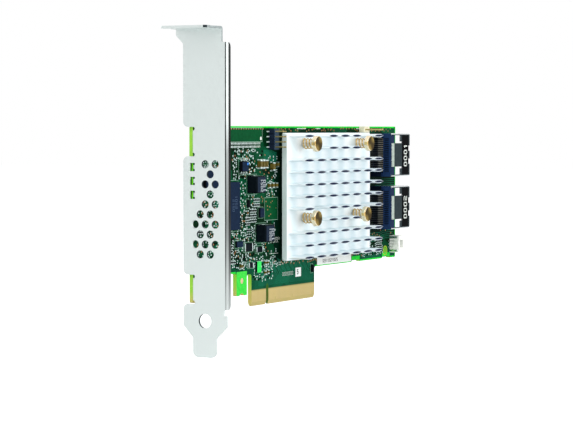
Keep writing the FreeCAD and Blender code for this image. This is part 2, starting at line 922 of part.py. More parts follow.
def thermal_pad():
    """Pad between the processor's lid and the heatsink."""
    size = processor_lid_size
    return standing_block(processor_x, processor_z, size, size, processor_height, heatsink_level)


def shell_section(inset, x, depth):
    """Rounded tube section of a port shell, shrunk by an inset and run along X."""
    radius = port_shell_radius - inset
    low = above(inset)
    high = above(port_height - inset)
    half = port_width / 2 - inset
    corners = ((low, -half, radius), (high, -half, radius), (high, half, radius), (low, half, radius))
    return rounded_face(corners, in_yz(x)).extrude(V(depth, 0, 0))


def port_shell(z):
    """Folded shell: two side walls, a front strip and a bridge with its lip."""
    start = port_rear + port_shell_start
    depth = port_mouth - start
    tube = shell_section(0, start, depth)
    tube = tube.cut(shell_section(port_shell_wall, start - 1, depth + 2))
    strip_start = port_mouth - port_strip_depth
    roof = (above(port_height - 2 * port_shell_wall), above(port_height + 1))
    bridge_half = port_bridge_width / 2
    inner_half = port_width / 2 - port_shell_radius
    windows = [block((start - 1, strip_start), roof, (bridge_half, inner_half))]
    windows.append(block((start - 1, strip_start), roof, (-inner_half, -bridge_half)))
    floor_gap = port_rear + port_shell_floor_start
    floor = (above(-1), above(2 * port_shell_wall))
    windows.append(block((start - 1, floor_gap), floor, (-port_width, port_width)))
    relief_x = (strip_start - 0.1, strip_start + port_relief_depth)
    latch_x = (port_mouth - port_latch_depth, port_mouth + 1)
    latch_half = port_latch_width / 2
    for side in (-1, 1):
        relief_z = (side * bridge_half, side * (bridge_half + port_relief_width))
        latch_middle = side * port_latch_offset
        latch_z = (latch_middle - latch_half, latch_middle + latch_half)
        windows.append(block(relief_x, roof, relief_z))
        windows.append(block(latch_x, roof, latch_z))
    tube = tube.cut(Part.makeCompound(windows))
    lip_levels = (above(port_height - port_shell_wall), above(port_height + port_lip_rise))
    lip = block((start, start + port_lip_depth), lip_levels, (-bridge_half, bridge_half))
    shell = fuse([tube, lip])
    shell.translate(V(0, 0, z))
    return shell


def port_lead_offsets():
    """Z of each lead from the middle of its port."""
    first = -port_lead_pitch * (port_lead_count - 1) / 2
    return [first + port_lead_pitch * n for n in range(port_lead_count)]


def port_housing(z):
    """Moulded body: ribbed rear wall, cheeks beside the leads and a slotted nose."""
    front = port_rear + port_wall_depth
    recess = port_rear + port_shell_start
    inner_top = port_height - port_shell_wall - port_fit
    inner_half = port_width / 2 - port_shell_wall - port_fit
    outer_half = port_width / 2
    head = block((port_rear, recess), (above(port_lead_drop), above(inner_top)), (-outer_half, outer_half))
    inner_round = port_shell_radius - port_shell_wall - port_fit
    section = (
        (above(0), -inner_half, 0),
        (above(inner_top), -inner_half, inner_round),
        (above(inner_top), inner_half, inner_round),
        (above(0), inner_half, 0),
    )
    wall = rounded_face(section, in_yz(recess)).extrude(V(front - recess, 0, 0))
    parts = [head, wall]
    cheek_start = port_rear - port_cheek_depth
    for side in (-1, 1):
        cheek_z = (side * outer_half, side * (outer_half - port_cheek_width))
        parts.append(block((cheek_start, recess), (above(0), above(port_lead_drop)), cheek_z))
    nose_half = port_nose_width / 2
    nose_end = front + port_nose_depth
    nose_levels = (above(port_nose_bottom), above(port_nose_top))
    parts.append(block((front, nose_end), nose_levels, (-nose_half, nose_half)))
    body = fuse(parts)
    middle = (port_nose_bottom + port_nose_top) / 2
    slot_levels = (above(middle - port_slot_height / 2), above(middle + port_slot_height / 2))
    slot_half = port_slot_width / 2
    cuts = [block((nose_end - port_slot_depth, nose_end + 1), slot_levels, (-slot_half, slot_half))]
    groove_half = (port_lead_pitch - port_lead_width) / 2
    groove_levels = (above(port_lead_drop + 0.4), above(inner_top - 0.7))
    groove_x = (port_rear - 1, port_rear + port_rib_depth)
    for offset in port_lead_offsets():
        cuts.append(block(groove_x, groove_levels, (offset - groove_half, offset + groove_half)))
    body = body.cut(Part.makeCompound(cuts))
    body.translate(V(0, 0, z))
    return body


def port_contacts(z):
    """Leads bent down behind the housing, and the blades inside the nose's slot."""
    thickness = port_lead_thickness
    top = above(port_lead_drop)
    back = port_rear + port_shell_start
    toe = port_rear - port_lead_foot + port_lead_thickness
    profile = (
        (back, top, 0),
        (back, above(0), 0),
        (toe, above(0), 0),
        (toe, above(thickness), 0),
        (back - thickness, above(thickness), 0),
        (back - thickness, top, 0),
    )
    half = port_lead_width / 2
    pieces = []
    nose_end = port_rear + port_wall_depth + port_nose_depth
    middle = (port_nose_bottom + port_nose_top) / 2
    slot_low = middle - port_slot_height / 2
    slot_high = middle + port_slot_height / 2
    blade_x = (nose_end - port_slot_depth, nose_end - 0.6)
    for offset in port_lead_offsets():
        lead = rounded_face(profile, in_xy(z + offset - half)).extrude(V(0, 0, port_lead_width))
        pieces.append(lead)
        if abs(offset) + half < port_slot_width / 2:
            z_range = (z + offset - half, z + offset + half)
            pieces.append(block(blade_x, (above(slot_low), above(slot_low + thickness)), z_range))
            pieces.append(block(blade_x, (above(slot_high - thickness), above(slot_high)), z_range))
    return Part.makeCompound(pieces)


def port_label(z):
    """Thin label on the shell's front strip."""
    middle = port_mouth - port_label_setback - port_label_depth / 2
    top = port_height + port_label_thickness
    return standing_block(middle, z, port_label_depth, port_label_width, port_height, top)


def test_post_places():
    """Places (x, z) of the test header's posts, row by row."""
    half = test_header_pitch / 2
    first = test_header_z + test_header_pitch * (test_header_rows - 1) / 2
    rows = [first - test_header_pitch * n for n in range(test_header_rows)]
    return [(test_header_x + side * half, row) for row in rows for side in (-1, 1)]


def test_header_body():
    """Strip of square cells, notched between them."""
    width = 2 * test_header_pitch
    length = test_header_pitch * test_header_rows
    top = test_header_height
    body = standing_block(test_header_x, test_header_z, width, length, 0, top)
    cuts = []
    first = test_header_z - length / 2
    for number in range(1, test_header_rows):
        z = first + number * test_header_pitch
        for side in (-1, 1):
            x = test_header_x + side * width / 2
            notch = ((x, z - test_header_notch, 0), (x - side * test_header_notch, z, 0))
            notch += ((x, z + test_header_notch, 0), (x + side, z, 0))
            cuts.append(rounded_face(notch, in_xz(above(top))).extrude(V(0, top, 0)))
    for x, z in test_post_places():
        cuts.append(standing_block(x, z, test_post_width, test_post_width, -0.5, top + 1))
    for x, z in test_post_places():
        side = 1 if x > test_header_x else -1
        edge = test_header_x + side * (width / 2 + 0.5)
        z_range = (z - test_post_width / 2, z + test_post_width / 2)
        cuts.append(block((x, edge), (above(-0.5), above(test_foot_thickness)), z_range))
    return body.cut(Part.makeCompound(cuts))


def test_header_posts():
    """Square posts, each bent into a foot on the board."""
    width = test_post_width
    posts = []
    for x, z in test_post_places():
        side = 1 if x > test_header_x else -1
        stem = standing_block(x, z, width, width, 0, test_post_rise)
        reach = test_header_x + side * (test_header_pitch + test_foot_reach)
        z_range = (z - width / 2, z + width / 2)
        foot = block((x, reach), (above(0), above(test_foot_thickness)), z_range)
        posts.append(fuse([stem, foot]))
    return Part.makeCompound(posts)


def lamp_post_places():
    """X of the indicator header's two posts."""
    half = lamp_header_pitch / 2
    return [lamp_header_x - half, lamp_header_x + half]


def lamp_header_body():
    """Two-cell strip pierced by its posts."""
    pitch = lamp_header_pitch
    body = standing_block(lamp_header_x, lamp_header_z, 2 * pitch, pitch, 0, lamp_header_height)
    for x in lamp_post_places():
        width = lamp_post_width
        top = lamp_header_height + 1
        body = body.cut(standing_block(x, lamp_header_z, width, width, -1, top))
    return body


def lamp_header_posts():
    """Straight posts that end in soldered tails behind the board."""
    width = lamp_post_width
    low = -board_thickness - lamp_post_tail
    high = lamp_post_rise
    posts = [standing_block(x, lamp_header_z, width, width, low, high) for x in lamp_post_places()]
    return Part.makeCompound(posts)


def cable_contact_levels():
    """Z of each contact of the cable header."""
    first = cable_header_z - cable_contact_pitch * (cable_contact_count - 1) / 2
    return [first + cable_contact_pitch * n for n in range(cable_contact_count)]


def cable_header_housing():
    """Shrouded socket, open away from the board, with a slot over each contact's foot."""
    width = cable_header_width
    length = cable_header_length
    height = cable_header_height
    wall = cable_header_wall
    x = cable_header_x
    z = cable_header_z
    body = standing_block(x, z, width, length, 0, height)
    inner_width = width - 2 * wall
    inner_length = length - 2 * cable_header_end_wall
    pocket = standing_block(x, z, inner_width, inner_length, cable_header_floor, height + 1)
    front = x - width / 2
    cuts = [pocket]
    for level in cable_contact_levels():
        half = cable_contact_width / 2
        z_range = (level - half, level + half)
        y_range = (above(-1), above(cable_slot_height))
        cuts.append(block((front - 1, front + wall / 2), y_range, z_range))
        cuts.append(block((front - 1, x + half), (above(-1), above(lead_thickness)), z_range))
        stem = (above(-1), above(cable_header_floor + 1))
        cuts.append(block((x - half, x + half), stem, z_range))
    return body.cut(Part.makeCompound(cuts))


def cable_header_contacts():
    """Posts inside the cable header, each with a foot on the board."""
    half = cable_contact_width / 2
    toe = cable_header_x - cable_header_width / 2 - cable_foot_reach
    pieces = []
    for level in cable_contact_levels():
        z_range = (level - half, level + half)
        x_range = (cable_header_x - half, cable_header_x + half)
        stem = block(x_range, (above(0), above(cable_contact_rise)), z_range)
        foot = block((toe, cable_header_x + half), (above(0), above(lead_thickness)), z_range)
        pieces.append(fuse([stem, foot]))
    front = cable_header_x - cable_header_width / 2
    tab_x = (front - cable_tab_thickness, front)
    for side in (-1, 1):
        end = cable_header_z + side * (cable_header_length / 2 - cable_tab_inset)
        tab_z = (end, end - side * cable_tab_width)
        pieces.append(block(tab_x, (above(0), above(cable_tab_rise)), tab_z))
    return Part.makeCompound(pieces)


def moulded_body(x, z, size_x, size_z, standoff, height):
    """Chip body whose sides draft inwards above and below the mould's parting line."""
    parting = (standoff + height) / 2

    def outline(level, inset):
        half_x = size_x / 2 - inset
        half_z = size_z / 2 - inset
        y = above(level)
        corners = ((-half_x, -half_z), (half_x, -half_z), (half_x, half_z), (-half_x, half_z))
        points = [V(x + u, y, z + v) for u, v in corners]
        return Part.makePolygon(points + points[:1])

    widest = outline(parting, 0)
    lower = Part.makeLoft([outline(standoff, mould_draft), widest], True, True)
    upper = Part.makeLoft([widest, outline(height, mould_draft)], True, True)
    return fuse([lower, upper])


def gull_leads(x, z, body_size, height, per_side):
    """Gull-wing leads along the two long sides of a chip."""
    parting = height / 2
    thickness = lead_thickness
    first = x - lead_pitch * (per_side - 1) / 2
    leads = []
    for side in (-1, 1):
        root = z + side * body_size / 2
        knee = root + side * (lead_reach - lead_foot)
        toe = root + side * lead_reach
        profile = (
            (above(parting + thickness / 2), root, 0),
            (above(parting + thickness / 2), knee, 0),
            (above(thickness), knee + side * thickness, 0),
            (above(thickness), toe, 0),
            (above(0), toe, 0),
            (above(0), knee, 0),
            (above(parting - thickness / 2), knee - side * thickness, 0),
            (above(parting - thickness / 2), root, 0),
        )
        for number in range(per_side):
            start = first + number * lead_pitch - lead_width / 2
            leads.append(rounded_face(profile, in_yz(start)).extrude(V(lead_width, 0, 0)))
    return Part.makeCompound(leads)


def power_inductors():
    """Moulded chokes with a wrapped terminal at each end."""
    pieces = []
    for x, height in inductor_places:
        z = at_height(height)
        level = inductor_clip_thickness
        body = standing_block(x, z, inductor_length, inductor_width, level, inductor_height)
        top = above(inductor_height)
        rim = [e for e in body.Edges if e.BoundBox.YMin <= top + 1e-6]
        upright = [e for e in body.Edges if e.BoundBox.YLength > 1]
        kept = {e.hashCode(): e for e in rim + upright}
        body = body.makeChamfer(inductor_edge, list(kept.values()))
        clips = []
        for side in (-1, 1):
            end = z + side * inductor_width / 2
            outer = end + side * inductor_clip_thickness
            x_range = (x - inductor_clip_width / 2, x + inductor_clip_width / 2)
            inner = end - side * 1.6
            clips.append(block(x_range, (above(0), above(level)), (inner, outer)))
            clips.append(block(x_range, (above(0), above(inductor_clip_rise)), (end, outer)))
        pieces.append(fuse([body] + clips))
    return Part.makeCompound(pieces)


def chip_part(x, z, size, along_x=False):
    """Ceramic chip with a slightly larger metal cap on each end."""
    across, length, height = size
    proud = end_cap_proud
    cap_centre = (length - end_cap_length) / 2
    sizes = (across - 2 * proud, length - 2 * proud)
    body_x, body_z = sizes[::-1] if along_x else sizes
    body = standing_block(x, z, body_x, body_z, proud, height - proud)
    caps = []
    for side in (-1, 1):
        shift = side * cap_centre
        if along_x:
            caps.append(standing_block(x + shift, z, end_cap_length, across, 0, height))
        else:
            caps.append(standing_block(x, z + shift, across, end_cap_length, 0, height))
    return fuse([body] + caps)


def ceramic_capacitors():
    """Capacitors of three sizes round the regulators."""
    groups = (
        (large_capacitor_places, large_capacitor_size),
        (small_capacitor_places, small_capacitor_size),
        (lower_capacitor_places, lower_capacitor_size),
    )
    pieces = []
    for places, size in groups:
        pieces += [chip_part(x, at_height(z), size) for x, z in places]
    return Part.makeCompound(pieces)


def chip_resistors():
    """Small resistors in short rows; each group gives its upper front corner and pitch."""
    across, length, height = resistor_size
    pieces = []
    groups = list(front_resistor_groups)
    groups += [(port_rear + x, z, pitch) for x, z, pitch in rear_resistor_groups]
    counts = front_resistor_counts + rear_resistor_counts
    for (x, z, pitch), (columns, rows) in zip(groups, counts):
        for row in range(rows):
            for number in range(columns):
                place = (x + pitch * number, at_height(z) - resistor_row_pitch * row)
                pieces.append(standing_block(*place, across, length, 0, height))
    return Part.makeCompound(pieces)


def shunt_resistors():
    """Wide current-sense resistors, lying along the card."""
    pieces = []
    for x, z, length, across in shunt_places:
        size = (across, length, shunt_height)
        pieces.append(chip_part(x, at_height(z), size, along_x=True))
    return Part.makeCompound(pieces)


def transistors():
    """Three-lead parts with drafted bodies."""
    pieces = []
    for x, z in transistor_places:
        size = (transistor_width, transistor_length)
        pieces.append(moulded_body(x, at_height(z), *size, 0, transistor_height))
    return Part.makeCompound(pieces)


def logic_chips():
    """Leadless chips flat on the board."""
    pieces = []
    for x, z, width, depth in logic_places:
        pieces.append(standing_block(x, at_height(z), width, depth, 0, logic_height))
    return Part.makeCompound(pieces)


def status_lamps():
    """Side-shining lamps at the front edge, one behind each slot of the bracket."""
    start = board_front_end + 0.15
    x = start + indicator_lamp_depth / 2
    size = (indicator_lamp_depth, indicator_lamp_height)
    rise = indicator_lamp_rise
    pieces = [standing_block(x, z, *size, 0, rise) for z in indicator_levels()]
    return Part.makeCompound(pieces)


def board_labels():
    """Two blank paper labels near the contact edge."""
    pieces = []
    for x, z, width, height in (small_label, long_label):
        pieces.append(standing_block(x, at_height(z), width, height, 0, label_thickness))
    return Part.makeCompound(pieces)


def backside_capacitors():
    """Decoupling capacitors on the solder side, in a grid behind the processor."""
    across, length, height = resistor_size
    first_x = processor_x - backside_pitch * (backside_column_count - 1) / 2
    first_z = processor_z - backside_pitch * (backside_row_count - 1) / 2
    pieces = []
    for column in range(backside_column_count):
        for row in range(backside_row_count):
            x = first_x + column * backside_pitch
            z = first_z + row * backside_pitch
            x_range = (x - across / 2, x + across / 2)
            z_range = (z - length / 2, z + length / 2)
            pieces.append(block(x_range, (behind(0), behind(height)), z_range))
    return Part.makeCompound(pieces)


def memory_chip():
    """Cache memory beside the bracket."""
    size = (memory_width, memory_length)
    return standing_block(memory_x, at_height(memory_z), *size, 0, memory_height)


def fuse_part():
    """Resettable fuse near the contact edge."""
    return standing_block(fuse_x, at_height(fuse_z), fuse_width, fuse_length, 0, fuse_height)


def sub_parts():
    """Every sub-part with the name of its file."""
    parts = {
        "circuit_board": circuit_board(),
        "edge_contacts": edge_contacts(),
        "bracket": bracket(),
        "bracket_screws": bracket_screws(),
        "heatsink": heatsink(),
        "push_pins": push_pins(),
        "heatsink_springs": heatsink_springs(),
        "raid_processor": raid_processor(),
        "thermal_pad": thermal_pad(),
        "test_header_body": test_header_body(),
        "test_header_posts": test_header_posts(),
        "lamp_header_body": lamp_header_body(),
        "lamp_header_posts": lamp_header_posts(),
        "cable_header_housing": cable_header_housing(),
        "cable_header_contacts": cable_header_contacts(),
        "memory_chip": memory_chip(),
        "power_inductors": power_inductors(),
        "ceramic_capacitors": ceramic_capacitors(),
        "chip_resistors": chip_resistors(),
        "shunt_resistors": shunt_resistors(),
        "transistors": transistors(),
        "logic_chips": logic_chips(),
        "board_fuse": fuse_part(),
        "status_lamps": status_lamps(),
        "board_labels": board_labels(),
        "backside_capacitors": backside_capacitors(),
    }
    flash_place = (flash_x, at_height(flash_z))
    flash_body = (flash_length, flash_width, chip_standoff, flash_height)
    flash_leads = (flash_width, flash_height, flash_leads_per_side)
    parts["flash_chip"] = moulded_body(*flash_place, *flash_body)
    parts["flash_leads"] = gull_leads(*flash_place, *flash_leads)
    regulator_place = (regulator_x, at_height(regulator_z))
    regulator_body = (regulator_length, regulator_width, chip_standoff, regulator_height)
    regulator_leads = (regulator_width, regulator_height, regulator_leads_per_side)
    parts["regulator_chip"] = moulded_body(*regulator_place, *regulator_body)
    parts["regulator_leads"] = gull_leads(*regulator_place, *regulator_leads)
    for number, z in enumerate(port_centres, start=1):
        parts[f"port_{number}_shell"] = port_shell(z)
        parts[f"port_{number}_housing"] = port_housing(z)
        parts[f"port_{number}_contacts"] = port_contacts(z)
        parts[f"port_{number}_label"] = port_label(z)
    return parts


def main():
    os.makedirs("parts", exist_ok=True)
    for name, shape in sub_parts().items():
        shape.exportStep(f"parts/{name}.step")


main()
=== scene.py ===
import math
import random

import bmesh
import bpy
from mathutils import Matrix, Vector

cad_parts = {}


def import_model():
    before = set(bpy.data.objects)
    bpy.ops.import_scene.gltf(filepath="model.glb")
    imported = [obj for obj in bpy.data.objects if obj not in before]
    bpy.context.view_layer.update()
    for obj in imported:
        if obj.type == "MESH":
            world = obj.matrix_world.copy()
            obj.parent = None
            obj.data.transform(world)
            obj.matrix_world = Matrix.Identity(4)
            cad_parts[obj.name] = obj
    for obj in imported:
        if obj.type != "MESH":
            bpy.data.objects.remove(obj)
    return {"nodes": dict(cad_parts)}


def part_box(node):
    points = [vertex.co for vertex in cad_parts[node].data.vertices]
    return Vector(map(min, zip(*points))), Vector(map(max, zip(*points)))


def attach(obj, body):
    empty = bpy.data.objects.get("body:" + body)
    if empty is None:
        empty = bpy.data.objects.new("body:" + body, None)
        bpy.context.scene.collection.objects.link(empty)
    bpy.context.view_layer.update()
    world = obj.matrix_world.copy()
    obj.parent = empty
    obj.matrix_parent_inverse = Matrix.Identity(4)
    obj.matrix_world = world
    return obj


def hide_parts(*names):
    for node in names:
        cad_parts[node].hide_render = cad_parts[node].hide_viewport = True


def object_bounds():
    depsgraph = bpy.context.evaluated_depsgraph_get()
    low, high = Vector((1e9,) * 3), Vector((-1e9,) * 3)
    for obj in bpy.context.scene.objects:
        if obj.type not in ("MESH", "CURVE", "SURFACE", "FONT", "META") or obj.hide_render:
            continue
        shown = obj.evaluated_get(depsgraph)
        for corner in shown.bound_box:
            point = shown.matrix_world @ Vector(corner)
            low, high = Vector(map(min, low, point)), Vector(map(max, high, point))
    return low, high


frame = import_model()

# Looks of a circuit board on its bracket, in the row frame: X along the card, -Y out of
# the component side, Z up. Lengths are in millimetres and turn to metres inside Blender.

cad_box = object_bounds()
cad = frame["nodes"]
draw = random.Random(41)
MM = 0.001


def box(node):
    """Lowest and highest corners of a CAD node."""
    low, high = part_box(node)
    return low / MM, high / MM


# Places on the card
board_low, board_high = box("circuit_board")
sink_low, sink_high = box("heatsink")
FRONT = -0.785
BACK = 0.785
LAYER = 0.012
FIN_COLUMN = sink_low.x + 5.76
FIN_COLUMN_PITCH = 10.38
FIN_ROW = sink_high.z - 1.2
FIN_ROW_PITCH = 4.75

# Camera of the photograph, in metres
CAMERA_PLACE = (-0.73511, -0.40310, 0.06763)
CAMERA_YAW = math.radians(61.82)
CAMERA_PITCH = math.radians(2.26)
CAMERA_LENS = 136.1
SENSOR_WIDTH = 36.0

# Materials by name
LOOKS = {}


class Tree:
    """Shader nodes of a material or of the world."""

    def __init__(self, owner):
        owner.use_nodes = True
        self.tree = owner.node_tree
        self.tree.nodes.clear()

    def feed(self, end, value):
        """What an input takes: another node's output, a plain colour or a constant."""
        if isinstance(value, bpy.types.NodeSocket):
            self.tree.links.new(value, end)
        elif end.type == "RGBA":
            end.default_value = (*value, 1.0)
        else:
            end.default_value = value

    def node(self, kind, inputs, **settings):
        """New node with its settings and what its inputs take."""
        made = self.tree.nodes.new("ShaderNode" + kind)
        for key, value in settings.items():
            setattr(made, key, value)
        for key, value in inputs.items():
            self.feed(made.inputs[key], value)
        return made

    def maths(self, operation, first, second=0.0):
        """Result of a calculation on two values."""
        return self.node("Math", {0: first, 1: second}, operation=operation).outputs["Value"]


class Finish(Tree):
    """A material under construction: a principled shader and what feeds it."""

    def __init__(self, name, roughness, metallic=0.0, specular=0.5):
        LOOKS[name] = bpy.data.materials.new(name)
        super().__init__(LOOKS[name])
        values = {"Roughness": roughness, "Metallic": metallic, "Specular IOR Level": specular}
        self.shader = self.node("BsdfPrincipled", values)
        self.output = self.node("OutputMaterial", {"Surface": self.shader.outputs["BSDF"]})
        self.place = self.node("TexCoord", {}).outputs["Object"]

    def scaled(self, scale):
        """Object coordinates stretched by a scale for each axis."""
        return self.node("Mapping", {"Vector": self.place, "Scale": scale}).outputs["Vector"]

    def noise(self, scale, detail=3.0):
        """Noise field, with one scale or a scale for each axis."""
        place = self.place
        if isinstance(scale, tuple):
            place = self.scaled(scale)
            scale = 1.0
        inputs = {"Vector": place, "Scale": scale, "Detail": detail}
        return self.node("TexNoise", inputs).outputs["Fac"]

    def ramp(self, value, stops):
        """Colours along a value; stops are (position, colour)."""
        ramp = self.node("ValToRGB", {"Fac": value})
        elements = ramp.color_ramp.elements
        while len(elements) < len(stops):
            elements.new(0.5)
        for element, (position, colour) in zip(elements, stops):
            element.position = position
            element.color = (*colour, 1.0)
        return ramp.outputs["Color"]

    def between(self, value, dark, light, margin=0.35):
        """Two colours blended along a value, each plain up to a margin from its end."""
        return self.ramp(value, [(margin, dark), (1 - margin, light)])

    def tinted(self, value, colour, spread, margin=0.35):
        """A colour that wanders from darker to lighter along a value."""
        dark = tuple(c * (1 - spread) for c in colour)
        light = tuple(min(1.0, c * (1 + spread)) for c in colour)
        return self.between(value, dark, light, margin)

    def span(self, value, low, high, to_low=0.0, to_high=1.0):
        """A value spread over new limits and held inside them."""
        limits = {"From Min": low, "From Max": high, "To Min": to_low, "To Max": to_high}
        return self.node("MapRange", {"Value": value, **limits}, clamp=True).outputs["Result"]

    def axis(self, name):
        """One of the object coordinates, X, Y or Z."""
        return self.node("SeparateXYZ", {"Vector": self.place}).outputs[name]

    def fade(self, axis, start, end):
        """From 0 to 1 between two places along an axis."""
        return self.span(self.axis(axis), start * MM, end * MM)

    def wrapped(self, axis, start, pitch):
        """Distance from the nearest of the places that repeat along an axis."""
        half = pitch / 2 * MM
        shifted = self.maths("SUBTRACT", self.axis(axis), start * MM - half)
        beyond = self.maths("FLOORED_MODULO", shifted, pitch * MM)
        return self.maths("SUBTRACT", beyond, half)

    def mix(self, factor, first, second):
        """Blend of two colours, either of which may be a plain one."""
        made = self.node("Mix", {"Factor": factor}, data_type="RGBA")
        ends = [end for end in made.inputs if end.type == "RGBA"]
        for end, colour in zip(ends, (first, second)):
            self.feed(end, colour)
        return next(end for end in made.outputs if end.type == "RGBA")

    def colour(self, source):
        """Base colour, plain or from other nodes."""
        self.feed(self.shader.inputs["Base Color"], source)

    def grain(self, scale, low, high):
        """Roughness that wanders between two values."""
        wander = self.span(self.noise(scale), 0.35, 0.65, low, high)
        self.feed(self.shader.inputs["Roughness"], wander)

    def relief(self, height, depth):
        """Bump of a height field."""
        bump = self.node("Bump", {"Strength": 1.0, "Distance": depth * MM, "Height": height})
        self.feed(self.shader.inputs["Normal"], bump.outputs["Normal"])


def metal(name, colour, roughness, brush, spread=0.06, depth=0.001):
    """Metal with a brushed or cast grain; brush is the noise scale for each axis."""
    finish = Finish(name, roughness, metallic=1.0)
    field = finish.noise(brush)
    finish.colour(finish.tinted(field, colour, spread, 0.3))
    finish.grain(brush, roughness * 0.8, roughness * 1.2)
    finish.relief(field, depth)


def plastic(name, colour, roughness, specular=0.3, spread=0.12, depth=0.004):
    """Moulded plastic, lacquer or resin with a fine sparked grain."""
    finish = Finish(name, roughness, specular=specular)
    field = finish.noise(900.0, 4.0)
    finish.colour(finish.tinted(field, colour, spread))
    finish.grain(300.0, roughness * 0.85, roughness * 1.15)
    finish.relief(field, depth)


def paper(name, colour, specular=0.1):
    """Matt label stock or ink with a faint fibre."""
    finish = Finish(name, 0.7, specular=specular)
    fibre = finish.noise((900.0, 900.0, 2500.0))
    finish.colour(finish.tinted(fibre, colour, 0.04))
    finish.relief(fibre, 0.003)


def cast_metal(name, colour, shaded):
    """Semi-matt blasted metal with painted shade in soft upright bands behind each column of fins.
    """
    finish = Finish(name, 0.55, metallic=0.35, specular=0.3)
    field = finish.noise(500.0)
    open_tone = finish.tinted(field, colour, 0.02, 0.3)
    away = finish.maths("ABSOLUTE", finish.wrapped("X", FIN_COLUMN, FIN_COLUMN_PITCH))
    finish.colour(finish.mix(finish.span(away, 0.8 * MM, 4.0 * MM), shaded, open_tone))
    finish.relief(field, 0.0005)


# Greys of painted reflection on the steel, at shares of the height from 0 to 100 mm
SHADOW_STOPS = ((0.0, 0.50), (0.11, 0.26), (0.22, 0.07), (0.36, 0.022), (0.6, 0.008), (0.95, 0.03))
GLEAM_STOPS = ((0.0, 0.66), (0.12, 0.52), (0.24, 0.36), (0.34, 0.23), (0.6, 0.42), (0.72, 0.84))


def painted_reflection_tone(name, stops):
    """Painted reflection on steel: greys of a room whose brightness changes from floor to ceiling.
    """
    finish = Finish(name, 0.5, specular=0.02)
    level = finish.fade("Z", 0.0, 100.0)
    tone = finish.ramp(level, [(place, (grey * 0.93, grey, grey * 0.98)) for place, grey in stops])
    grain = finish.noise((300.0, 300.0, 60.0))
    finish.colour(finish.mix(finish.span(grain, 0.3, 0.7, 0.0, 0.12), tone, (0.1, 0.11, 0.11)))
    finish.relief(grain, 0.0005)


FIN_TIP_SHIFT = 0.3
FIN_TIP_LENGTH = 4.4
FIN_TIP_WIDTH = 0.46


def fin_tip(name):
    """Tip of each fin: painted dark reflection, a lens inside a paler rim."""
    finish = Finish(name, 0.45, specular=0.04)
    across = finish.maths("ABSOLUTE", finish.wrapped("Z", FIN_ROW, FIN_ROW_PITCH))
    along = finish.wrapped("X", FIN_COLUMN - FIN_TIP_SHIFT, FIN_COLUMN_PITCH)
    part = finish.maths("ABSOLUTE", finish.maths("DIVIDE", along, FIN_TIP_LENGTH * MM))
    bulge = finish.maths("SUBTRACT", 1.0, finish.maths("POWER", part, 2.0))
    half_width = finish.maths("MULTIPLY", bulge, FIN_TIP_WIDTH * MM)
    inside = finish.maths("SUBTRACT", half_width, across)
    dark = finish.span(inside, -0.02 * MM, 0.06 * MM)
    tone = finish.between(finish.noise(900.0), (0.003, 0.006, 0.022), (0.008, 0.014, 0.050), 0.3)
    finish.colour(finish.mix(dark, (0.58, 0.66, 0.72), tone))


# Heights over which the mask turns paler downwards, and over which it gives way to bare board
PALE_BAND = (17.6, 16.4)
BARE_BAND = (6.3, 5.9)


def laminate_face(name, deep, middle, pale):
    """Solder mask over copper: pours, routed bundles and a fine weave below."""
    finish = Finish(name, 0.3, specular=0.008)
    inputs = {"Vector": finish.scaled((1.0, 0.0, 1.6)), "Scale": 95.0}
    pours = finish.node("TexVoronoi", inputs, distance="CHEBYCHEV")
    cell = finish.node("SeparateColor", {"Color": pours.outputs["Color"]}).outputs["Red"]
    patch = finish.span(cell, 0.35, 0.75)
    inputs = {"Vector": finish.scaled((1.0, 0.0, 1.0)), "Scale": 620.0, "Distortion": 0.0}
    bundle = finish.node("TexWave", inputs, wave_type="BANDS", bands_direction="DIAGONAL")
    lines = finish.span(bundle.outputs["Fac"], 0.45, 0.62)
    routed = finish.maths("MULTIPLY", lines, patch)
    ground = finish.mix(patch, deep, middle)
    base = finish.mix(finish.maths("MULTIPLY", routed, 0.6), ground, pale)
    low_band = finish.fade("Z", *PALE_BAND)
    base = finish.mix(finish.maths("MULTIPLY", low_band, 0.42), base, pale)
    finish.colour(finish.mix(finish.fade("Z", *BARE_BAND), base, (0.47, 0.38, 0.15)))
    weave = finish.noise((2400.0, 2400.0, 2400.0), 2.0)
    finish.relief(finish.maths("ADD", finish.maths("MULTIPLY", weave, 0.15), routed), 0.006)


def cut_edge(name):
    """Resin with fine glass layers, still without its colour."""
    finish = Finish(name, 0.5, specular=0.1)
    layers = finish.noise((300.0, 7000.0, 300.0), 2.0)
    finish.relief(layers, 0.005)
    return finish, layers


def laminate_edge(name, dark, light, low):
    """Cut edge of the board, in another tone by the contacts."""
    finish, layers = cut_edge(name)
    resin = finish.between(layers, dark, light)
    finish.colour(finish.mix(finish.fade("Z", 9.0, 4.5), resin, low))


def slot_edge(name, bright, dark):
    """Board's front edge by the indicators, with painted shade on its solder side."""
    finish, _ = cut_edge(name)
    finish.colour(finish.mix(finish.fade("Y", -0.45, -0.15), bright, dark))


def turned_face(name, dark, light):
    """Face of a turned head: fine rings, with painted reflection that darkens it and two pale
    sectors of painted highlight, in places round its own centre.
    """
    finish = Finish(name, 0.42, metallic=0.1, specular=0.05)
    centred = finish.node("UVMap", {}, uv_map="round")
    parts = finish.node("SeparateXYZ", {"Vector": centred.outputs["UV"]})
    across, up = parts.outputs["X"], parts.outputs["Y"]
    angle = finish.maths("SUBTRACT", finish.maths("ARCTAN2", up, across), 0.9)
    turn = finish.maths("COSINE", finish.maths("MULTIPLY", angle, 2.0))
    squares = finish.maths("ADD", finish.maths("POWER", across, 2.0), finish.maths("POWER", up, 2.0))
    reach = finish.maths("POWER", squares, 0.5)
    rings = finish.maths("SINE", finish.maths("MULTIPLY", reach, 55.0))
    sector = finish.maths("MULTIPLY", finish.span(turn, -0.6, 1.0), reach)
    painted_sheen_and_rings = finish.maths("ADD", sector, finish.maths("MULTIPLY", rings, 0.08))
    finish.colour(finish.between(painted_sheen_and_rings, dark, light, 0.1))
    finish.relief(rings, 0.004)


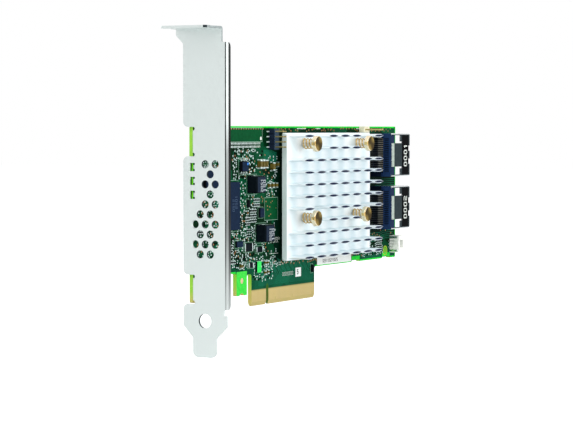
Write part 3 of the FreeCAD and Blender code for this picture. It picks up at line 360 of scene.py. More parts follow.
def lead_metal(name):
    """Port leads: painted shade darkens them by the board, then bare copper at the top."""
    finish = Finish(name, 0.35, metallic=0.7)
    level = finish.fade("Y", FRONT, FRONT - 5.1)
    stops = [
        (0.0, (0.05, 0.06, 0.07)),
        (0.42, (0.07, 0.08, 0.08)),
        (0.55, (0.50, 0.50, 0.45)),
        (1.0, (0.46, 0.36, 0.26)),
    ]
    finish.colour(finish.ramp(level, stops))
    finish.grain(2500.0, 0.28, 0.45)


# Plastics: name, colour, roughness, specular, then spread and depth where they differ
PLASTICS = (
    ("hook_green", (0.045, 0.64, 0.055), 0.5, 0.05),
    ("rim_green", (0.012, 0.60, 0.035), 0.5, 0.04),
    ("ring_yellow", (0.32, 0.44, 0.03), 0.5, 0.04),
    ("spot", (0.66, 0.50, 0.30), 0.6, 0.05),
    ("bevel", (0.84, 0.76, 0.35), 0.6, 0.1),
    ("trace", (0.012, 0.20, 0.115), 0.35, 0.01),
    ("pour", (0.003, 0.070, 0.022), 0.35, 0.008),
    ("mask_dark", (0.001, 0.014, 0.007), 0.4, 0.008),
    ("hole", (0.003, 0.005, 0.004), 0.9, 0.02),
    ("solder", (0.54, 0.68, 0.65), 0.4, 0.2),
    ("steel_dark", (0.026, 0.038, 0.042), 0.5, 0.02),
    ("steel_grey", (0.30, 0.34, 0.34), 0.5, 0.1),
    ("steel_lip", (0.38, 0.45, 0.39), 0.4, 0.1),
    ("shaft", (0.80, 0.80, 0.74), 0.4, 0.3),
    ("mould", (0.005, 0.006, 0.009), 0.5, 0.02),
    ("mould_navy", (0.008, 0.019, 0.045), 0.42, 0.012),
    ("substrate", (0.01, 0.09, 0.03), 0.5, 0.3),
    ("pad", (0.35, 0.38, 0.42), 0.8, 0.3, 0.12, 0.01),
    ("black", (0.004, 0.007, 0.010), 0.45, 0.012),
    ("slate", (0.014, 0.024, 0.044), 0.4, 0.012),
    ("header_face", (0.030, 0.055, 0.090), 0.45, 0.03),
    ("header_side", (0.010, 0.018, 0.036), 0.45, 0.02),
    ("cream", (0.78, 0.74, 0.55), 0.5, 0.3),
    ("white", (0.90, 0.93, 0.86), 0.5, 0.1),
    ("navy", (0.006, 0.019, 0.060), 0.38, 0.03),
    ("navy_deep", (0.013, 0.034, 0.095), 0.45, 0.02),
    ("navy_shade", (0.003, 0.006, 0.014), 0.5, 0.02),
    ("ceramic", (0.105, 0.080, 0.014), 0.5, 0.1, 0.25),
    ("ceramic_brown", (0.13, 0.05, 0.020), 0.5, 0.1, 0.25),
    ("resistor", (0.008, 0.009, 0.011), 0.35, 0.1),
    ("lacquer", (0.02, 0.68, 0.10), 0.3, 0.1),
    ("lens", (0.68, 0.86, 0.74), 0.25, 0.4),
    ("blue_mark", (0.03, 0.24, 0.85), 0.5, 0.1),
)
for values in PLASTICS:
    plastic(*values)

metal("steel_sheet", (0.70, 0.76, 0.745), 0.42, (700.0, 700.0, 900.0), 0.012, 0.0001)
metal("steel_bright", (0.72, 0.75, 0.75), 0.25, (900.0, 60.0, 900.0))
metal("brass", (0.80, 0.56, 0.22), 0.2, (900.0, 3000.0, 900.0), 0.12)
metal("brass_pale", (0.93, 0.80, 0.56), 0.25, (900.0, 3000.0, 900.0), 0.08)
metal("spring", (0.56, 0.38, 0.13), 0.25, (900.0, 900.0, 900.0), 0.2)
metal("gold", (0.56, 0.44, 0.19), 0.42, (500.0, 500.0, 120.0), 0.04)
metal("tin", (0.62, 0.73, 0.71), 0.28, 1800.0, 0.12)
metal("copper", (0.48, 0.21, 0.085), 0.35, 2200.0, 0.15)
metal("lid", (0.62, 0.63, 0.63), 0.35, 700.0)
cast_metal("aluminium", (0.885, 0.93, 0.945), (0.76, 0.85, 0.88))
# The heatsink's flank: a darker copy of the metal, painted shade
cast_metal("sink_side", (0.72, 0.83, 0.82), (0.72, 0.83, 0.82))
painted_reflection_tone("steel_shadow", SHADOW_STOPS)
painted_reflection_tone("steel_gleam", GLEAM_STOPS)
fin_tip("fin_tip")
turned_face("brass_face", (0.045, 0.028, 0.004), (0.30, 0.21, 0.05))
lead_metal("lead")

CONTACT_TAN = (0.52, 0.44, 0.13)
laminate_face("mask_front", (0.0008, 0.020, 0.006), (0.002, 0.050, 0.014), (0.004, 0.120, 0.060))
laminate_face("mask_back", (0.0012, 0.030, 0.008), (0.003, 0.060, 0.018), (0.005, 0.110, 0.045))
laminate_edge("edge_green", (0.01, 0.52, 0.02), (0.05, 0.72, 0.05), CONTACT_TAN)
laminate_edge("edge_warm", (0.22, 0.52, 0.04), (0.34, 0.64, 0.07), CONTACT_TAN)
# Walls of the key slot: a darker copy of the edge, painted shade
laminate_edge("edge_olive", (0.01, 0.16, 0.02), (0.03, 0.24, 0.03), (0.10, 0.16, 0.03))
slot_edge("slot_edge", (0.13, 0.62, 0.012), (0.016, 0.045, 0.004))

paper("label_black", (0.003, 0.0035, 0.004), 0.02)
paper("label_white", (0.86, 0.88, 0.86))
paper("ink", (0.80, 0.86, 0.80))
paper("ink_grey", (0.50, 0.55, 0.58))
paper("ink_navy", (0.055, 0.095, 0.17))
paper("ink_faint", (0.28, 0.50, 0.36))

# How pieces are made
EDGE_ANGLE = math.radians(30)
FLAT_ANGLE = math.radians(0.4)
WELD = 0.002
OUTWARDS = 0.9


def finished(name, mesh, materials, replaced=None):
    """Object made of a mesh, riding on the card and standing for a CAD node."""
    piece = bpy.data.objects.new(name, mesh)
    bpy.context.scene.collection.objects.link(piece)
    for material in materials.split():
        mesh.materials.append(LOOKS[material])
    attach(piece, "root")
    if replaced:
        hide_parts(replaced)
    return piece


def soften(piece, width, segments):
    """Small rounded edges on a piece."""
    bevel = piece.modifiers.new("edges", "BEVEL")
    bevel.width = width * MM
    bevel.segments = segments
    bevel.limit_method = "ANGLE"
    bevel.angle_limit = EDGE_ANGLE
    for polygon in piece.data.polygons:
        polygon.use_smooth = True
    flat = piece.modifiers.new("flat_faces", "WEIGHTED_NORMAL")
    flat.mode = "FACE_AREA"
    flat.weight = 100


def cleaned(node):
    """A CAD node's mesh with its flat faces joined up."""
    shape = bmesh.new()
    shape.from_mesh(cad[node].data)
    bmesh.ops.remove_doubles(shape, verts=shape.verts, dist=WELD * MM)
    bmesh.ops.dissolve_limit(shape, angle_limit=FLAT_ANGLE, verts=shape.verts, edges=shape.edges)
    shape.normal_update()
    return shape


def to_mesh(shape, name):
    """Blender mesh from an edited shape."""
    mesh = bpy.data.meshes.new(name)
    shape.to_mesh(mesh)
    shape.free()
    return mesh


def limits(faces):
    """Lowest and highest corners of some faces."""
    points = [vert.co for face in faces for vert in face.verts]
    low = Vector([min(p[n] for p in points) for n in range(3)])
    high = Vector([max(p[n] for p in points) for n in range(3)])
    return low / MM, high / MM


def solids_of(shape):
    """Connected parts of a shape, as lists of faces."""
    left = set(shape.faces)
    parts = []
    while left:
        found = [left.pop()]
        for face in found:
            for edge in face.edges:
                for other in edge.link_faces:
                    if other in left:
                        left.discard(other)
                        found.append(other)
        parts.append(found)
    parts.sort(key=lambda faces: tuple(round(c, 2) for c in limits(faces)[0]))
    return parts


def boxes_of(node):
    """Box of each solid in a node."""
    shape = cleaned(node)
    found = [limits(faces) for faces in solids_of(shape)]
    shape.free()
    return found


def middle(low, high):
    """Middle of a box, along X and Z."""
    return (low.x + high.x) / 2, (low.z + high.z) / 2


def divide(shape, axis, places):
    """Extra edges across a shape, where planes at some places along an axis cut it."""
    direction = [0.0, 0.0, 0.0]
    direction[axis] = 1.0
    for place in places:
        point = [place * MM * part for part in direction]
        everything = shape.verts[:] + shape.edges[:] + shape.faces[:]
        bmesh.ops.bisect_plane(shape, geom=everything, plane_co=point, plane_no=direction)
    shape.normal_update()


def dress(node, slot_name, materials, rule=None, width=0.08, segments=2, lines=()):
    """A CAD node's own form with soft edges; the rule picks each face's material."""
    shape = cleaned(node)
    for axis, places in lines:
        divide(shape, axis, places)
    if rule:
        for faces in solids_of(shape):
            low, high = limits(faces)
            for face in faces:
                centre = face.calc_center_median() / MM
                face.material_index = rule(face.normal, centre, low, high)
    piece = finished(node + "_look", to_mesh(shape, node), materials, node)
    if width:
        soften(piece, width, segments)


class Sheet:
    """Flat shapes in one mesh, some thin layers above the board or above a part's face."""

    def __init__(self, name, layers, base=FRONT):
        self.name = name
        self.shape = bmesh.new()
        self.side = 1 if base > 0 else -1
        self.y = base + self.side * layers * LAYER

    def face(self, points):
        """Flat shape through points (x, z), turned to face outwards."""
        verts = [self.shape.verts.new((x * MM, self.y * MM, z * MM)) for x, z in points]
        face = self.shape.faces.new(verts)
        face.normal_update()
        if face.normal.y * self.side < 0:
            face.normal_flip()

    def corners(self, x, z, width, height):
        """Corners of a rectangle by its centre."""
        a, b = width / 2, height / 2
        return [(x - a, z - b), (x + a, z - b), (x + a, z + b), (x - a, z + b)]

    def box(self, x, z, width, height):
        """Rectangle by its centre."""
        self.face(self.corners(x, z, width, height))

    def disc(self, x, z, radius, sides=10, stretch=1.0):
        """Round dot, or an oval one."""
        turns = [2 * math.pi * n / sides for n in range(sides)]
        self.face([(x + radius * math.cos(t), z + radius * stretch * math.sin(t)) for t in turns])

    def ring(self, x, z, outer, inner, sides=16):
        """Flat ring, made of quads."""
        for n in range(sides):
            a = 2 * math.pi * n / sides
            b = 2 * math.pi * (n + 1) / sides
            corners = [(outer, a), (outer, b), (inner, b), (inner, a)]
            self.face([(x + r * math.cos(t), z + r * math.sin(t)) for r, t in corners])

    def via(self, holes, x, z):
        """Small disc, with a hole drawn on another sheet."""
        self.disc(x, z, 0.34)
        holes.disc(x, z, 0.15, 8)

    def line(self, start, end, width):
        """Straight stroke with square ends."""
        a = Vector(start)
        b = Vector(end)
        along = (b - a).normalized() * (width / 2)
        across = Vector((-along.y, along.x))
        a = a - along
        b = b + along
        self.face([tuple(a - across), tuple(b - across), tuple(b + across), tuple(a + across)])

    def path(self, points, width):
        """Stroke through points."""
        for start, end in zip(points, points[1:]):
            self.line(start, end, width)

    def bundle(self, count, step_x, step_z, points, width):
        """Equal strokes side by side, each moved a step from the last."""
        for n in range(count):
            self.path([(x + step_x * n, z + step_z * n) for x, z in points], width)

    def frame(self, x, z, width, height, stroke):
        """Outline of a rectangle by its centre."""
        corners = self.corners(x, z, width, height)
        self.path(corners + corners[:1], stroke)

    def around(self, low, high, grow_x, grow_z, stroke):
        """Outline round a part's box."""
        self.frame(*middle(low, high), high.x - low.x + grow_x, high.z - low.z + grow_z, stroke)

    def end_pads(self, low, high, grow, height):
        """Pads at both metal ends of a chip part."""
        for z in (low.z - 0.05, high.z + 0.05):
            self.box((low.x + high.x) / 2, z, high.x - low.x + grow, height)

    def done(self, material):
        """The finished piece."""
        return finished(self.name, to_mesh(self.shape, self.name), material)


DIGIT_STROKES = {
    "0": [(0.0, 0.0), (0.6, 0.0), (0.6, 1.0), (0.0, 1.0), (0.0, 0.0)],
    "1": [(0.1, 0.8), (0.3, 1.0), (0.3, 0.0)],
    "2": [(0.0, 1.0), (0.6, 1.0), (0.6, 0.55), (0.0, 0.45), (0.0, 0.0), (0.6, 0.0)],
    "5": [(0.6, 1.0), (0.0, 1.0), (0.0, 0.55), (0.6, 0.5), (0.6, 0.0), (0.0, 0.0)],
}
DIGIT_PITCH = 0.95
DIGIT_WIDTH = 0.9


def digits(sheet, number, x, z, height, stroke, upwards=True):
    """Plain digits; x and z are where their feet start, and they can read upwards."""
    for place, digit in enumerate(number):
        start = place * height * DIGIT_PITCH
        points = [(start + u * height * DIGIT_WIDTH, v * height) for u, v in DIGIT_STROKES[digit]]
        if upwards:
            sheet.path([(x - v, z + u) for u, v in points], stroke)
        else:
            sheet.path([(x + u, z + v) for u, v in points], stroke)


# Board
HOOK_FRONT = -24.1
HOOK_REAR = -16.1
HOOK_TOP = 13.8
KEY_HALF = 1.2
KEY_TOP = 9.0
BEVEL_TOP = 1.5
SLOT_EDGE_FOOT = 16.0
SLOT_EDGE_TOP = 57.0


def board_rule(normal, centre, low, high):
    """0 front mask, 1 back mask, 2 bevel, 3 green edge, 4 warm edge, 5 key in painted shade, 6 hook,
    7 by slots with painted shade.
    """
    if normal.y > OUTWARDS:
        return 1
    if normal.y < -OUTWARDS:
        return 6 if HOOK_FRONT < centre.x < HOOK_REAR and centre.z < HOOK_TOP else 0
    if centre.z < BEVEL_TOP and abs(normal.y) > 0.2:
        return 2
    if abs(centre.x) < KEY_HALF and centre.z < KEY_TOP:
        return 5
    if normal.x > -0.7:
        return 3
    return 7 if centre.x < low.x + 1 and SLOT_EDGE_FOOT < centre.z < SLOT_EDGE_TOP else 4


dress(
    "circuit_board",
    "laminate",
    "mask_front mask_back bevel edge_green edge_warm edge_olive hook_green slot_edge",
    board_rule,
    0.04,
    1,
    lines=((0, (HOOK_FRONT, HOOK_REAR)), (2, (HOOK_TOP, SLOT_EDGE_FOOT, SLOT_EDGE_TOP))),
)

# Bracket
SHEET_OUTER = -57.15
SHEET_BACK = -56.25
FLANGE_BEND = -57.0
FLANGE_SHADE = -56.15
FLANGE_DEPTH = 1.1
FLANGE_TOP = 99.1
FLANGE_FOOT = 2.3
TAB_CORNER = -67.3
VENTS_MARGIN = 2.5
VENTS_FOOT = -5.0


def bracket_rule(normal, centre, low, high):
    """0 bright, 1 dark, 2 shadow, 3 grey, 4 gleam: painted reflection and shade for what the steel
    mirrors round it.
    """
    on_flange = centre.y < low.y + FLANGE_DEPTH and centre.x > SHEET_OUTER + 0.01
    if on_flange and normal.y < -0.1 and FLANGE_FOOT < centre.z < FLANGE_TOP:
        return 4 if FLANGE_BEND <= centre.x < FLANGE_SHADE else 2
    if normal.y > -0.25:
        return 0
    if SHEET_OUTER < centre.x < SHEET_BACK and abs(normal.x) < 0.3:
        if low.y + VENTS_MARGIN < centre.y < -VENTS_MARGIN and centre.z > VENTS_FOOT:
            return 1
        return 3 if centre.z > FLANGE_TOP + 0.1 else 0
    if centre.x < SHEET_OUTER and abs(normal.z) < 0.3:
        return 1 if centre.x < TAB_CORNER else 3
    return 0


# The bracket's steel carries painted reflection and shade, face by face
dress(
    "bracket",
    "bracket",
    "steel_sheet steel_dark steel_shadow steel_grey steel_gleam",
    bracket_rule,
    0.1,
    lines=((0, (FLANGE_BEND, FLANGE_SHADE)),),
)

# Heatsink, pins and springs
HEAD_RADIUS = 2.85
SHAFT_REACH = 2.0
SPRING_TURNS = 3.5
SPRING_WIRE = 0.5
SPRING_STEPS = 28
SPRING_FOOT_RADIUS = 2.0
SPRING_TOP_RADIUS = 1.8


def sink_rule(normal, centre, low, high):
    """0 open metal, 1 fin tips in painted dark reflection, 2 flank that faces the bracket, in
    painted shade.
    """
    if normal.y < -OUTWARDS and centre.y < low.y + 0.05:
        return 1
    return 2 if normal.x < -0.8 and centre.x < low.x + 0.1 else 0


def pin_rule(normal, centre, low, high):
    """0 brass, 1 head face in painted reflection, 2 pale brass, a painted highlight where the head
    catches the light, 3 shaft.
    """
    if normal.y < -OUTWARDS and centre.y < low.y + 0.3:
        return 1
    x, z = middle(low, high)
    if math.hypot(centre.x - x, centre.z - z) < SHAFT_REACH and centre.y < FRONT:
        return 3
    return 2 if 0.25 < abs(normal.z) < 0.93 else 0


dress("heatsink", "aluminium", "aluminium fin_tip sink_side", sink_rule, 0.06, 1)
dress("push_pins", "brass", "brass brass_face brass_pale shaft", pin_rule)


def head_faces():
    """Turned faces of the pins' heads in painted reflection, with map places that run round each
    centre.
    """
    pins = boxes_of("push_pins")
    centres = [middle(low, high) for low, high in pins]
    faces = Sheet("push_pin_faces", 0.3, pins[0][0].y)
    for x, z in centres:
        faces.disc(x, z, HEAD_RADIUS, 40)
    mesh = faces.done("brass_face").data
    turned = mesh.uv_layers.new(name="round")
    for polygon, (x, z) in zip(mesh.polygons, centres):
        for loop in polygon.loop_indices:
            corner = mesh.vertices[mesh.loops[loop].vertex_index].co / MM
            turned.data[loop].uv = ((corner.x - x) / HEAD_RADIUS, (corner.z - z) / HEAD_RADIUS)


head_faces()


def coil_spring(low, high):
    """Mesh of a tapered coil in a CAD spring's box, with closed ends."""
    x, z = middle(low, high)
    bottom = high.y - SPRING_WIRE / 2
    top = low.y + SPRING_WIRE / 2
    curve = bpy.data.curves.new("coil", "CURVE")
    curve.dimensions = "3D"
    curve.bevel_depth = SPRING_WIRE / 2 * MM
    curve.bevel_resolution = 3
    curve.use_fill_caps = True
    spline = curve.splines.new("POLY")
    steps = int(SPRING_TURNS * SPRING_STEPS)
    spline.points.add(steps)
    for step in range(steps + 1):
        part = step / steps
        turn = 2 * math.pi * SPRING_TURNS * part
        radius = SPRING_FOOT_RADIUS + (SPRING_TOP_RADIUS - SPRING_FOOT_RADIUS) * part
        depth = bottom + (top - bottom) * part
        point = Vector((x + radius * math.cos(turn), depth, z + radius * math.sin(turn)))
        spline.points[step].co = (*(point * MM), 1)
    spline.use_smooth = True
    holder = bpy.data.objects.new("coil", curve)
    mesh = bpy.data.meshes.new_from_object(holder)
    bpy.data.objects.remove(holder)
    return mesh


def springs():
    """All coil springs, joined in one piece."""
    shape = bmesh.new()
    for low, high in boxes_of("heatsink_springs"):
        mesh = coil_spring(low, high)
        shape.from_mesh(mesh)
        bpy.data.meshes.remove(mesh)
    for face in shape.faces:
        face.smooth = True
    mesh = to_mesh(shape, "heatsink_springs")
    finished("heatsink_springs_look", mesh, "spring", "heatsink_springs")


springs()

# Ports
PORT_REAR = 93.0
LEAD_DROP = 4.6
SHELL_LIP = 2.2


def shell_rule(normal, centre, low, high):
    """0 bright, 1 dark outer face, 2 paler lip by the leads."""
    if normal.y >= -OUTWARDS:
        return 0
    return 2 if centre.x < low.x + SHELL_LIP else 1


def housing_rule(normal, centre, low, high):
    """0 navy, 1 painted shade behind the leads and in the grooves, 2 paler navy of painted light on
    the rear wall and by the leads.
    """
    by_leads = centre.y > FRONT - LEAD_DROP
    if normal.x < -0.5:
        return 1 if by_leads or centre.x > PORT_REAR + 0.1 else 2
    return 2 if by_leads else 0


for port, number in (("port_1", "0001"), ("port_2", "0002")):
    dress(port + "_shell", "shell_steel", "steel_bright steel_dark steel_lip", shell_rule, 0.06)
    dress(port + "_housing", "navy_plastic", "navy navy_shade navy_deep", housing_rule, 0)
    dress(port + "_contacts", "tinned_leads", "lead", None, 0.02, 1)
    dress(port + "_label", "black_label", "label_black", None, 0.02, 1)
    low, high = box(port + "_label")
    marks = Sheet(port + "_digit", 1, low.y)
    digits(marks, number, high.x - 1.8, (low.z + high.z) / 2 - 4.7, 2.7, 0.45)
    marks.done("ink")
    # A dark sheet round the leads: painted shade
    low, high = box(port + "_housing")
    shade = Sheet(port + "_shade", 0.5)
    shade.box(low.x, (low.z + high.z) / 2, 8.0, high.z - low.z)
    shade.done("hole")

# Other parts
SOLDER_RISE = 0.75
SUBSTRATE_RISE = 1.02


def post_rule(normal, centre, low, high):
    """0 gold, 1 soldered foot."""
    return 1 if centre.y > FRONT - SOLDER_RISE else 0


def processor_rule(normal, centre, low, high):
    """0 substrate, 1 lid."""
    return 1 if centre.y < FRONT - SUBSTRATE_RISE else 0


def top_rule(normal, centre, low, high):
    """0 sides, 1 face that looks out of the component side."""
    return 1 if normal.y < -OUTWARDS else 0


CAP = 0.46
FOOT = 0.16
FOOT_HEIGHT = 1.52


def inductor_rule(normal, centre, low, high):
    """0 sides, 1 top, 2 tinned feet."""
    at_end = centre.z < low.z + FOOT or centre.z > high.z - FOOT
    if at_end and centre.y > FRONT - FOOT_HEIGHT:
        return 2
    return 1 if normal.y < -OUTWARDS and centre.y < low.y + 0.1 else 0


def end_rule(along):
    """Rule that gives metal to the ends of a chip part along one axis."""

    def rule(normal, centre, low, high):
        at_end = centre[along] < low[along] + CAP or centre[along] > high[along] - CAP
        return 1 if at_end else 0

    return rule


def fuse_rule(normal, centre, low, high):
    """0 lacquer, 1 solder ends, 2 flank that faces the bracket, painted black as shade."""
    return 2 if normal.x < -0.5 else end_rule(2)(normal, centre, low, high)


# Node, material slot, materials, rule, width and segments of its soft edges
for values in (
    ("edge_contacts", "gold", "gold", None, 0.015, 1),
    ("bracket_screws", "screw_steel", "steel_bright", None, 0.06),
    ("raid_processor", "package", "substrate lid", processor_rule),
    ("thermal_pad", "pad", "pad", None, 0.03, 1),
    ("test_header_body", "black_plastic", "header_side header_face", top_rule, 0.06),
    ("test_header_posts", "gold", "gold solder", post_rule, 0.08, 1),
    ("lamp_header_body", "cream_plastic", "cream", None, 0.12),
    ("lamp_header_posts", "gold", "gold", None, 0.12, 1),
    ("cable_header_housing", "white_plastic", "white", None, 0.12),
    ("cable_header_contacts", "tinned_leads", "tin", None, 0.03, 1),
    ("memory_chip", "chip_mould", "mould mould_navy", top_rule, 0.05),
    ("flash_chip", "chip_mould", "mould mould_navy", top_rule, 0.05),
    ("flash_leads", "tinned_leads", "tin", None, 0.02, 1),
    ("regulator_chip", "chip_mould", "mould mould_navy", top_rule, 0.05),
    ("regulator_leads", "tinned_leads", "tin", None, 0.02, 1),
    ("transistors", "chip_mould", "mould", None, 0.04),
    ("logic_chips", "chip_mould", "mould mould_navy", top_rule, 0.04),
    ("status_lamps", "lamp_lens", "lens", None, 0.1),
    ("board_labels", "paper", "label_white", None, 0.01, 1),
    ("board_fuse", "green_lacquer", "lacquer solder black", fuse_rule, 0.12),
    ("power_inductors", "inductor_mould", "black slate tin", inductor_rule),
    ("ceramic_capacitors", "ceramic", "ceramic tin", end_rule(2), 0.05),
    ("shunt_resistors", "black_plastic", "black tin", end_rule(0), 0.05),
):
    dress(*values)

SMALL_CAP = 0.26
BODY_INSET = 0.02


def capped_boxes(node, body):
    """Plain chip solids rebuilt with a slimmer body between two metal caps."""
    shape = bmesh.new()
    for low, high in boxes_of(node):
        inset = Vector((BODY_INSET, 0, SMALL_CAP * 0.8))
        start = low + inset
        end = high - inset
        if low.y < 0:
            start.y += BODY_INSET
        else:
            end.y -= BODY_INSET
        low_cap_end = Vector((high.x, high.y, low.z + SMALL_CAP))
        high_cap_start = Vector((low.x, low.y, high.z - SMALL_CAP))
        for index, a, b in ((0, start, end), (1, low, low_cap_end), (1, high_cap_start, high)):
            size = Matrix.Diagonal((*((b - a) * MM), 1.0))
            place = Matrix.Translation((a + b) / 2 * MM) @ size
            made = bmesh.ops.create_cube(shape, size=1.0, matrix=place)
            for face in {f for v in made["verts"] for f in v.link_faces}:
                face.material_index = index
    piece = finished(node + "_look", to_mesh(shape, node), body + " tin", node)
    soften(piece, 0.03, 1)


capped_boxes("chip_resistors", "resistor")
capped_boxes("backside_capacitors", "ceramic_brown")

# Copper, solder and ink on the board
OCCUPIED_NODES = (
    "heatsink memory_chip flash_chip regulator_chip test_header_body lamp_header_body "
    "cable_header_housing board_fuse port_1_housing port_2_housing"
)
OCCUPIED_GROUPS = (
    "power_inductors ceramic_capacitors shunt_resistors transistors logic_chips "
    "board_labels chip_resistors status_lamps"
)
FOOTPRINTS = ((-16.4, 65.6, 24.2, 4.6), (3.2, 36.9, 9.9, 8.0))
BLOCK_FRONT = -11.2
BLOCK_REAR = 38.4
BLOCK_FOOT = 8.9
MAIN_FOOT = 14.2
MAIN_TOP = 68.2


def occupied_boxes():
    """Boxes of the parts and of the empty footprints on the component side."""
    boxes = [box(name) for name in OCCUPIED_NODES.split()]
    for name in OCCUPIED_GROUPS.split():
        boxes += boxes_of(name)
    for x, z, width, height in FOOTPRINTS:
        low = Vector((x - width / 2, 0, z - height / 2))
        boxes.append((low, low + Vector((width, 0, height))))
    return boxes


occupied = occupied_boxes()


def clear(x, z, margin, boxes):
    """True where a place keeps its distance from some boxes."""
    for low, high in boxes:
        if low.x - margin < x < high.x + margin and low.z - margin < z < high.z + margin:
            return False
    return True


def open_board(x, z, margin):
    """True on the bare component side, clear of parts, board edges and contacts."""
    foot = BLOCK_FOOT if BLOCK_FRONT < x < BLOCK_REAR else MAIN_FOOT
    on_board = board_low.x + 1 < x < board_high.x - 1 and foot < z < MAIN_TOP
    return on_board and clear(x, z, margin, occupied)


def scattered(count, x_range, z_range, gap):
    """Seeded places in a region, kept apart from each other."""
    places = []
    for _ in range(count * 12):
        if len(places) >= count:
            break
        x = draw.uniform(*x_range)
        z = draw.uniform(*z_range)
        if all((x - a) ** 2 + (z - b) ** 2 > gap ** 2 for a, b in places):
            places.append((x, z))
    return places


# Each region is a count of places, its limits along X and its limits along Z
VIA_REGIONS = (
    (150, (-54.0, -30.0), (15.0, 67.0)),
    (120, (-28.0, 7.0), (15.0, 60.0)),
    (60, (0.0, 112.0), (66.9, 68.2)),
    (40, (8.0, 84.0), (14.6, 16.2)),
    (60, (83.0, 92.0), (15.0, 66.0)),
    (8, (93.0, 114.0), (22.0, 25.0)),
)
FOOTPRINT_DOTS = (9, (-1.2, 7.6), (33.4, 40.4))
PAD_REGIONS = (
    (290, (-27.0, -9.5), (15.0, 60.0)),
    (420, (-53.0, -30.0), (15.0, 66.0)),
    (170, (-28.0, 0.0), (14.8, 30.0)),
    (50, (-27.0, -4.0), (49.0, 60.0)),
    (70, (-1.0, 8.0), (14.5, 58.0)),
    (40, (83.0, 92.0), (15.0, 66.0)),
    (60, (84.0, 103.0), (14.4, 21.5)),
    (60, (-8.0, 20.0), (15.0, 17.5)),
    (46, (-11.0, 4.5), (9.2, 15.0)),
)
BACK_VIA_REGIONS = (
    (260, (-54.0, 10.0), (15.0, 66.0)),
    (320, (12.0, 90.0), (17.0, 66.0)),
    (140, (90.0, 113.0), (17.0, 66.0)),
    (70, (-12.0, 39.0), (7.5, 16.0)),
)


def copper_dots():
    """Vias: a copper ring round a dark hole, scattered between the parts and in a row."""
    rings = Sheet("front_vias", 2)
    holes = Sheet("front_via_holes", 2.5)
    for region in VIA_REGIONS:
        for x, z in scattered(*region, 0.95):
            if open_board(x, z, 0.5):
                rings.via(holes, x, z)
    for n in range(14):
        rings.disc(-28.0 + 1.9 * n, 67.9, 0.3)
    for x, z in scattered(*FOOTPRINT_DOTS, 1.2):
        rings.disc(x, z, 0.3)
    rings.done("copper")
    holes.done("hole")


copper_dots()

PORT_MIDDLE = 97.0
PORT_SPAN = 27.0
HOOK_SPOT = (-20.0, 10.2)
HOOK_SPOT_RADIUS = 1.05


def painted_shade_and_hook_spot():
    """Painted shade on the mask by the heatsink's edge and round the ports, and the hook's bare
    spot.
    """
    shade = Sheet("sink_shade_mask", 0.4)
    height = sink_high.z - sink_low.z
    shade.box(sink_low.x + 0.6, sink_low.z + height / 2, 7.0, height + 1)
    shade.done("mask_dark")
    gap = Sheet("port_gap_shade_mask", 0.4)
    upper_end = box("port_1_housing")[0].z
    lower_start, lower_end = (corner.z for corner in box("port_2_housing"))
    gap.box(PORT_MIDDLE, (upper_end + lower_end) / 2, PORT_SPAN, upper_end - lower_end)
    gap.box(PORT_MIDDLE, lower_start - 1.4, PORT_SPAN, 2.8)
    gap.done("mask_dark")
    spot = Sheet("hook_spot", 1)
    spot.disc(*HOOK_SPOT, HOOK_SPOT_RADIUS, 20, 1.1 / HOOK_SPOT_RADIUS)
    spot.done("spot")


painted_shade_and_hook_spot()

# Board's cut edges
RIM_WIDTH = 0.65
LOWER_EDGE = 12.4
FRONT_LOWER_EDGE = 13.3
REAR_EDGE_TOP = 68.0
BITES = (77.0, 106.3)
RIM_RUNS = ((110.8, board_high.x - RIM_WIDTH / 2 - 1), (81.2, 101.8), (40.4, 72.6))
TOOLING_HOLE = (105.7, 15.6)


def rim(side, base):
    """Mask-free margin of bright laminate along the board's cut edges, and a drilled land."""
    sheet = Sheet(side + "_rim", 0.8, base)
    inset = RIM_WIDTH / 2
    top = board_high.z - inset
    rear = board_high.x - inset
    lower = LOWER_EDGE + inset
    sheet.line((board_low.x + 1, top), (rear - 1, top), RIM_WIDTH)
    sheet.line((rear, REAR_EDGE_TOP), (rear, FRONT_LOWER_EDGE), RIM_WIDTH)
    for bite in BITES:
        sheet.box(bite + 0.2, 13.9, 7.6, 1.6)
    for start, end in RIM_RUNS:
        sheet.line((start, lower), (end, lower), RIM_WIDTH)
    front_lower = FRONT_LOWER_EDGE + inset
    sheet.line((-45.6, front_lower), (-25.0, front_lower), RIM_WIDTH)
    sheet.done("rim_green")
    land = Sheet(side + "_rim_land", 1, base)
    land.ring(*TOOLING_HOLE, 2.15, 1.66, 24)
    land.done("ring_yellow")


rim("front", FRONT)
rim("back", BACK)


def traces():
    """Routed lines under the mask, a little paler than the board."""
    sheet = Sheet("front_traces", 1)
    for n in range(2, 58):
        x = -14.0 + 0.92 * n
        top = 17.4 - 0.25 * (n % 4)
        drop = 4.6 + 0.9 * (n % 3)
        if x + drop <= 38.8:
            sheet.path([(x, top), (x + drop, top - drop), (x + drop, 7.4)], 0.17)
    for n in range(5):
        z = 43.0 + 0.85 * n
        sheet.line((93.6 + 2.2 * n, z), (114.6, z), 0.16)
    sheet.bundle(5, 0, 0.85, [(84.0, 20.2), (100.0, 20.2), (104.0, 21.0), (113.8, 21.0)], 0.16)
    sheet.bundle(14, -0.55, 0, [(-29.5, 62.0), (-29.5, 44.0), (-32.5, 41.0), (-32.5, 20.0)], 0.2)
    sheet.bundle(10, 0, 0.45, [(-2.8, 55.6), (2.5, 55.6), (7.6, 54.4)], 0.16)
    sheet.bundle(9, 1.7, 0, [(-26.5, 59.6), (-26.5, 56.8), (-25.6, 55.9)], 0.16)
    for n in range(9):
        x = -26.5 + 1.7 * n
        low = 16.0 + 0.7 * (n % 3)
        sheet.path([(x, low), (x + 1.4, low + 1.4), (x + 1.4, low + 3)], 0.16)
    sheet.done("trace")


traces()

# Rows of bare pads by height, and rows of ink dashes by start and count
PAD_ROWS = (62.35, 61.1)
DASH_ROWS = ((25.0, 7), (41.0, 4), (78.0, 8))


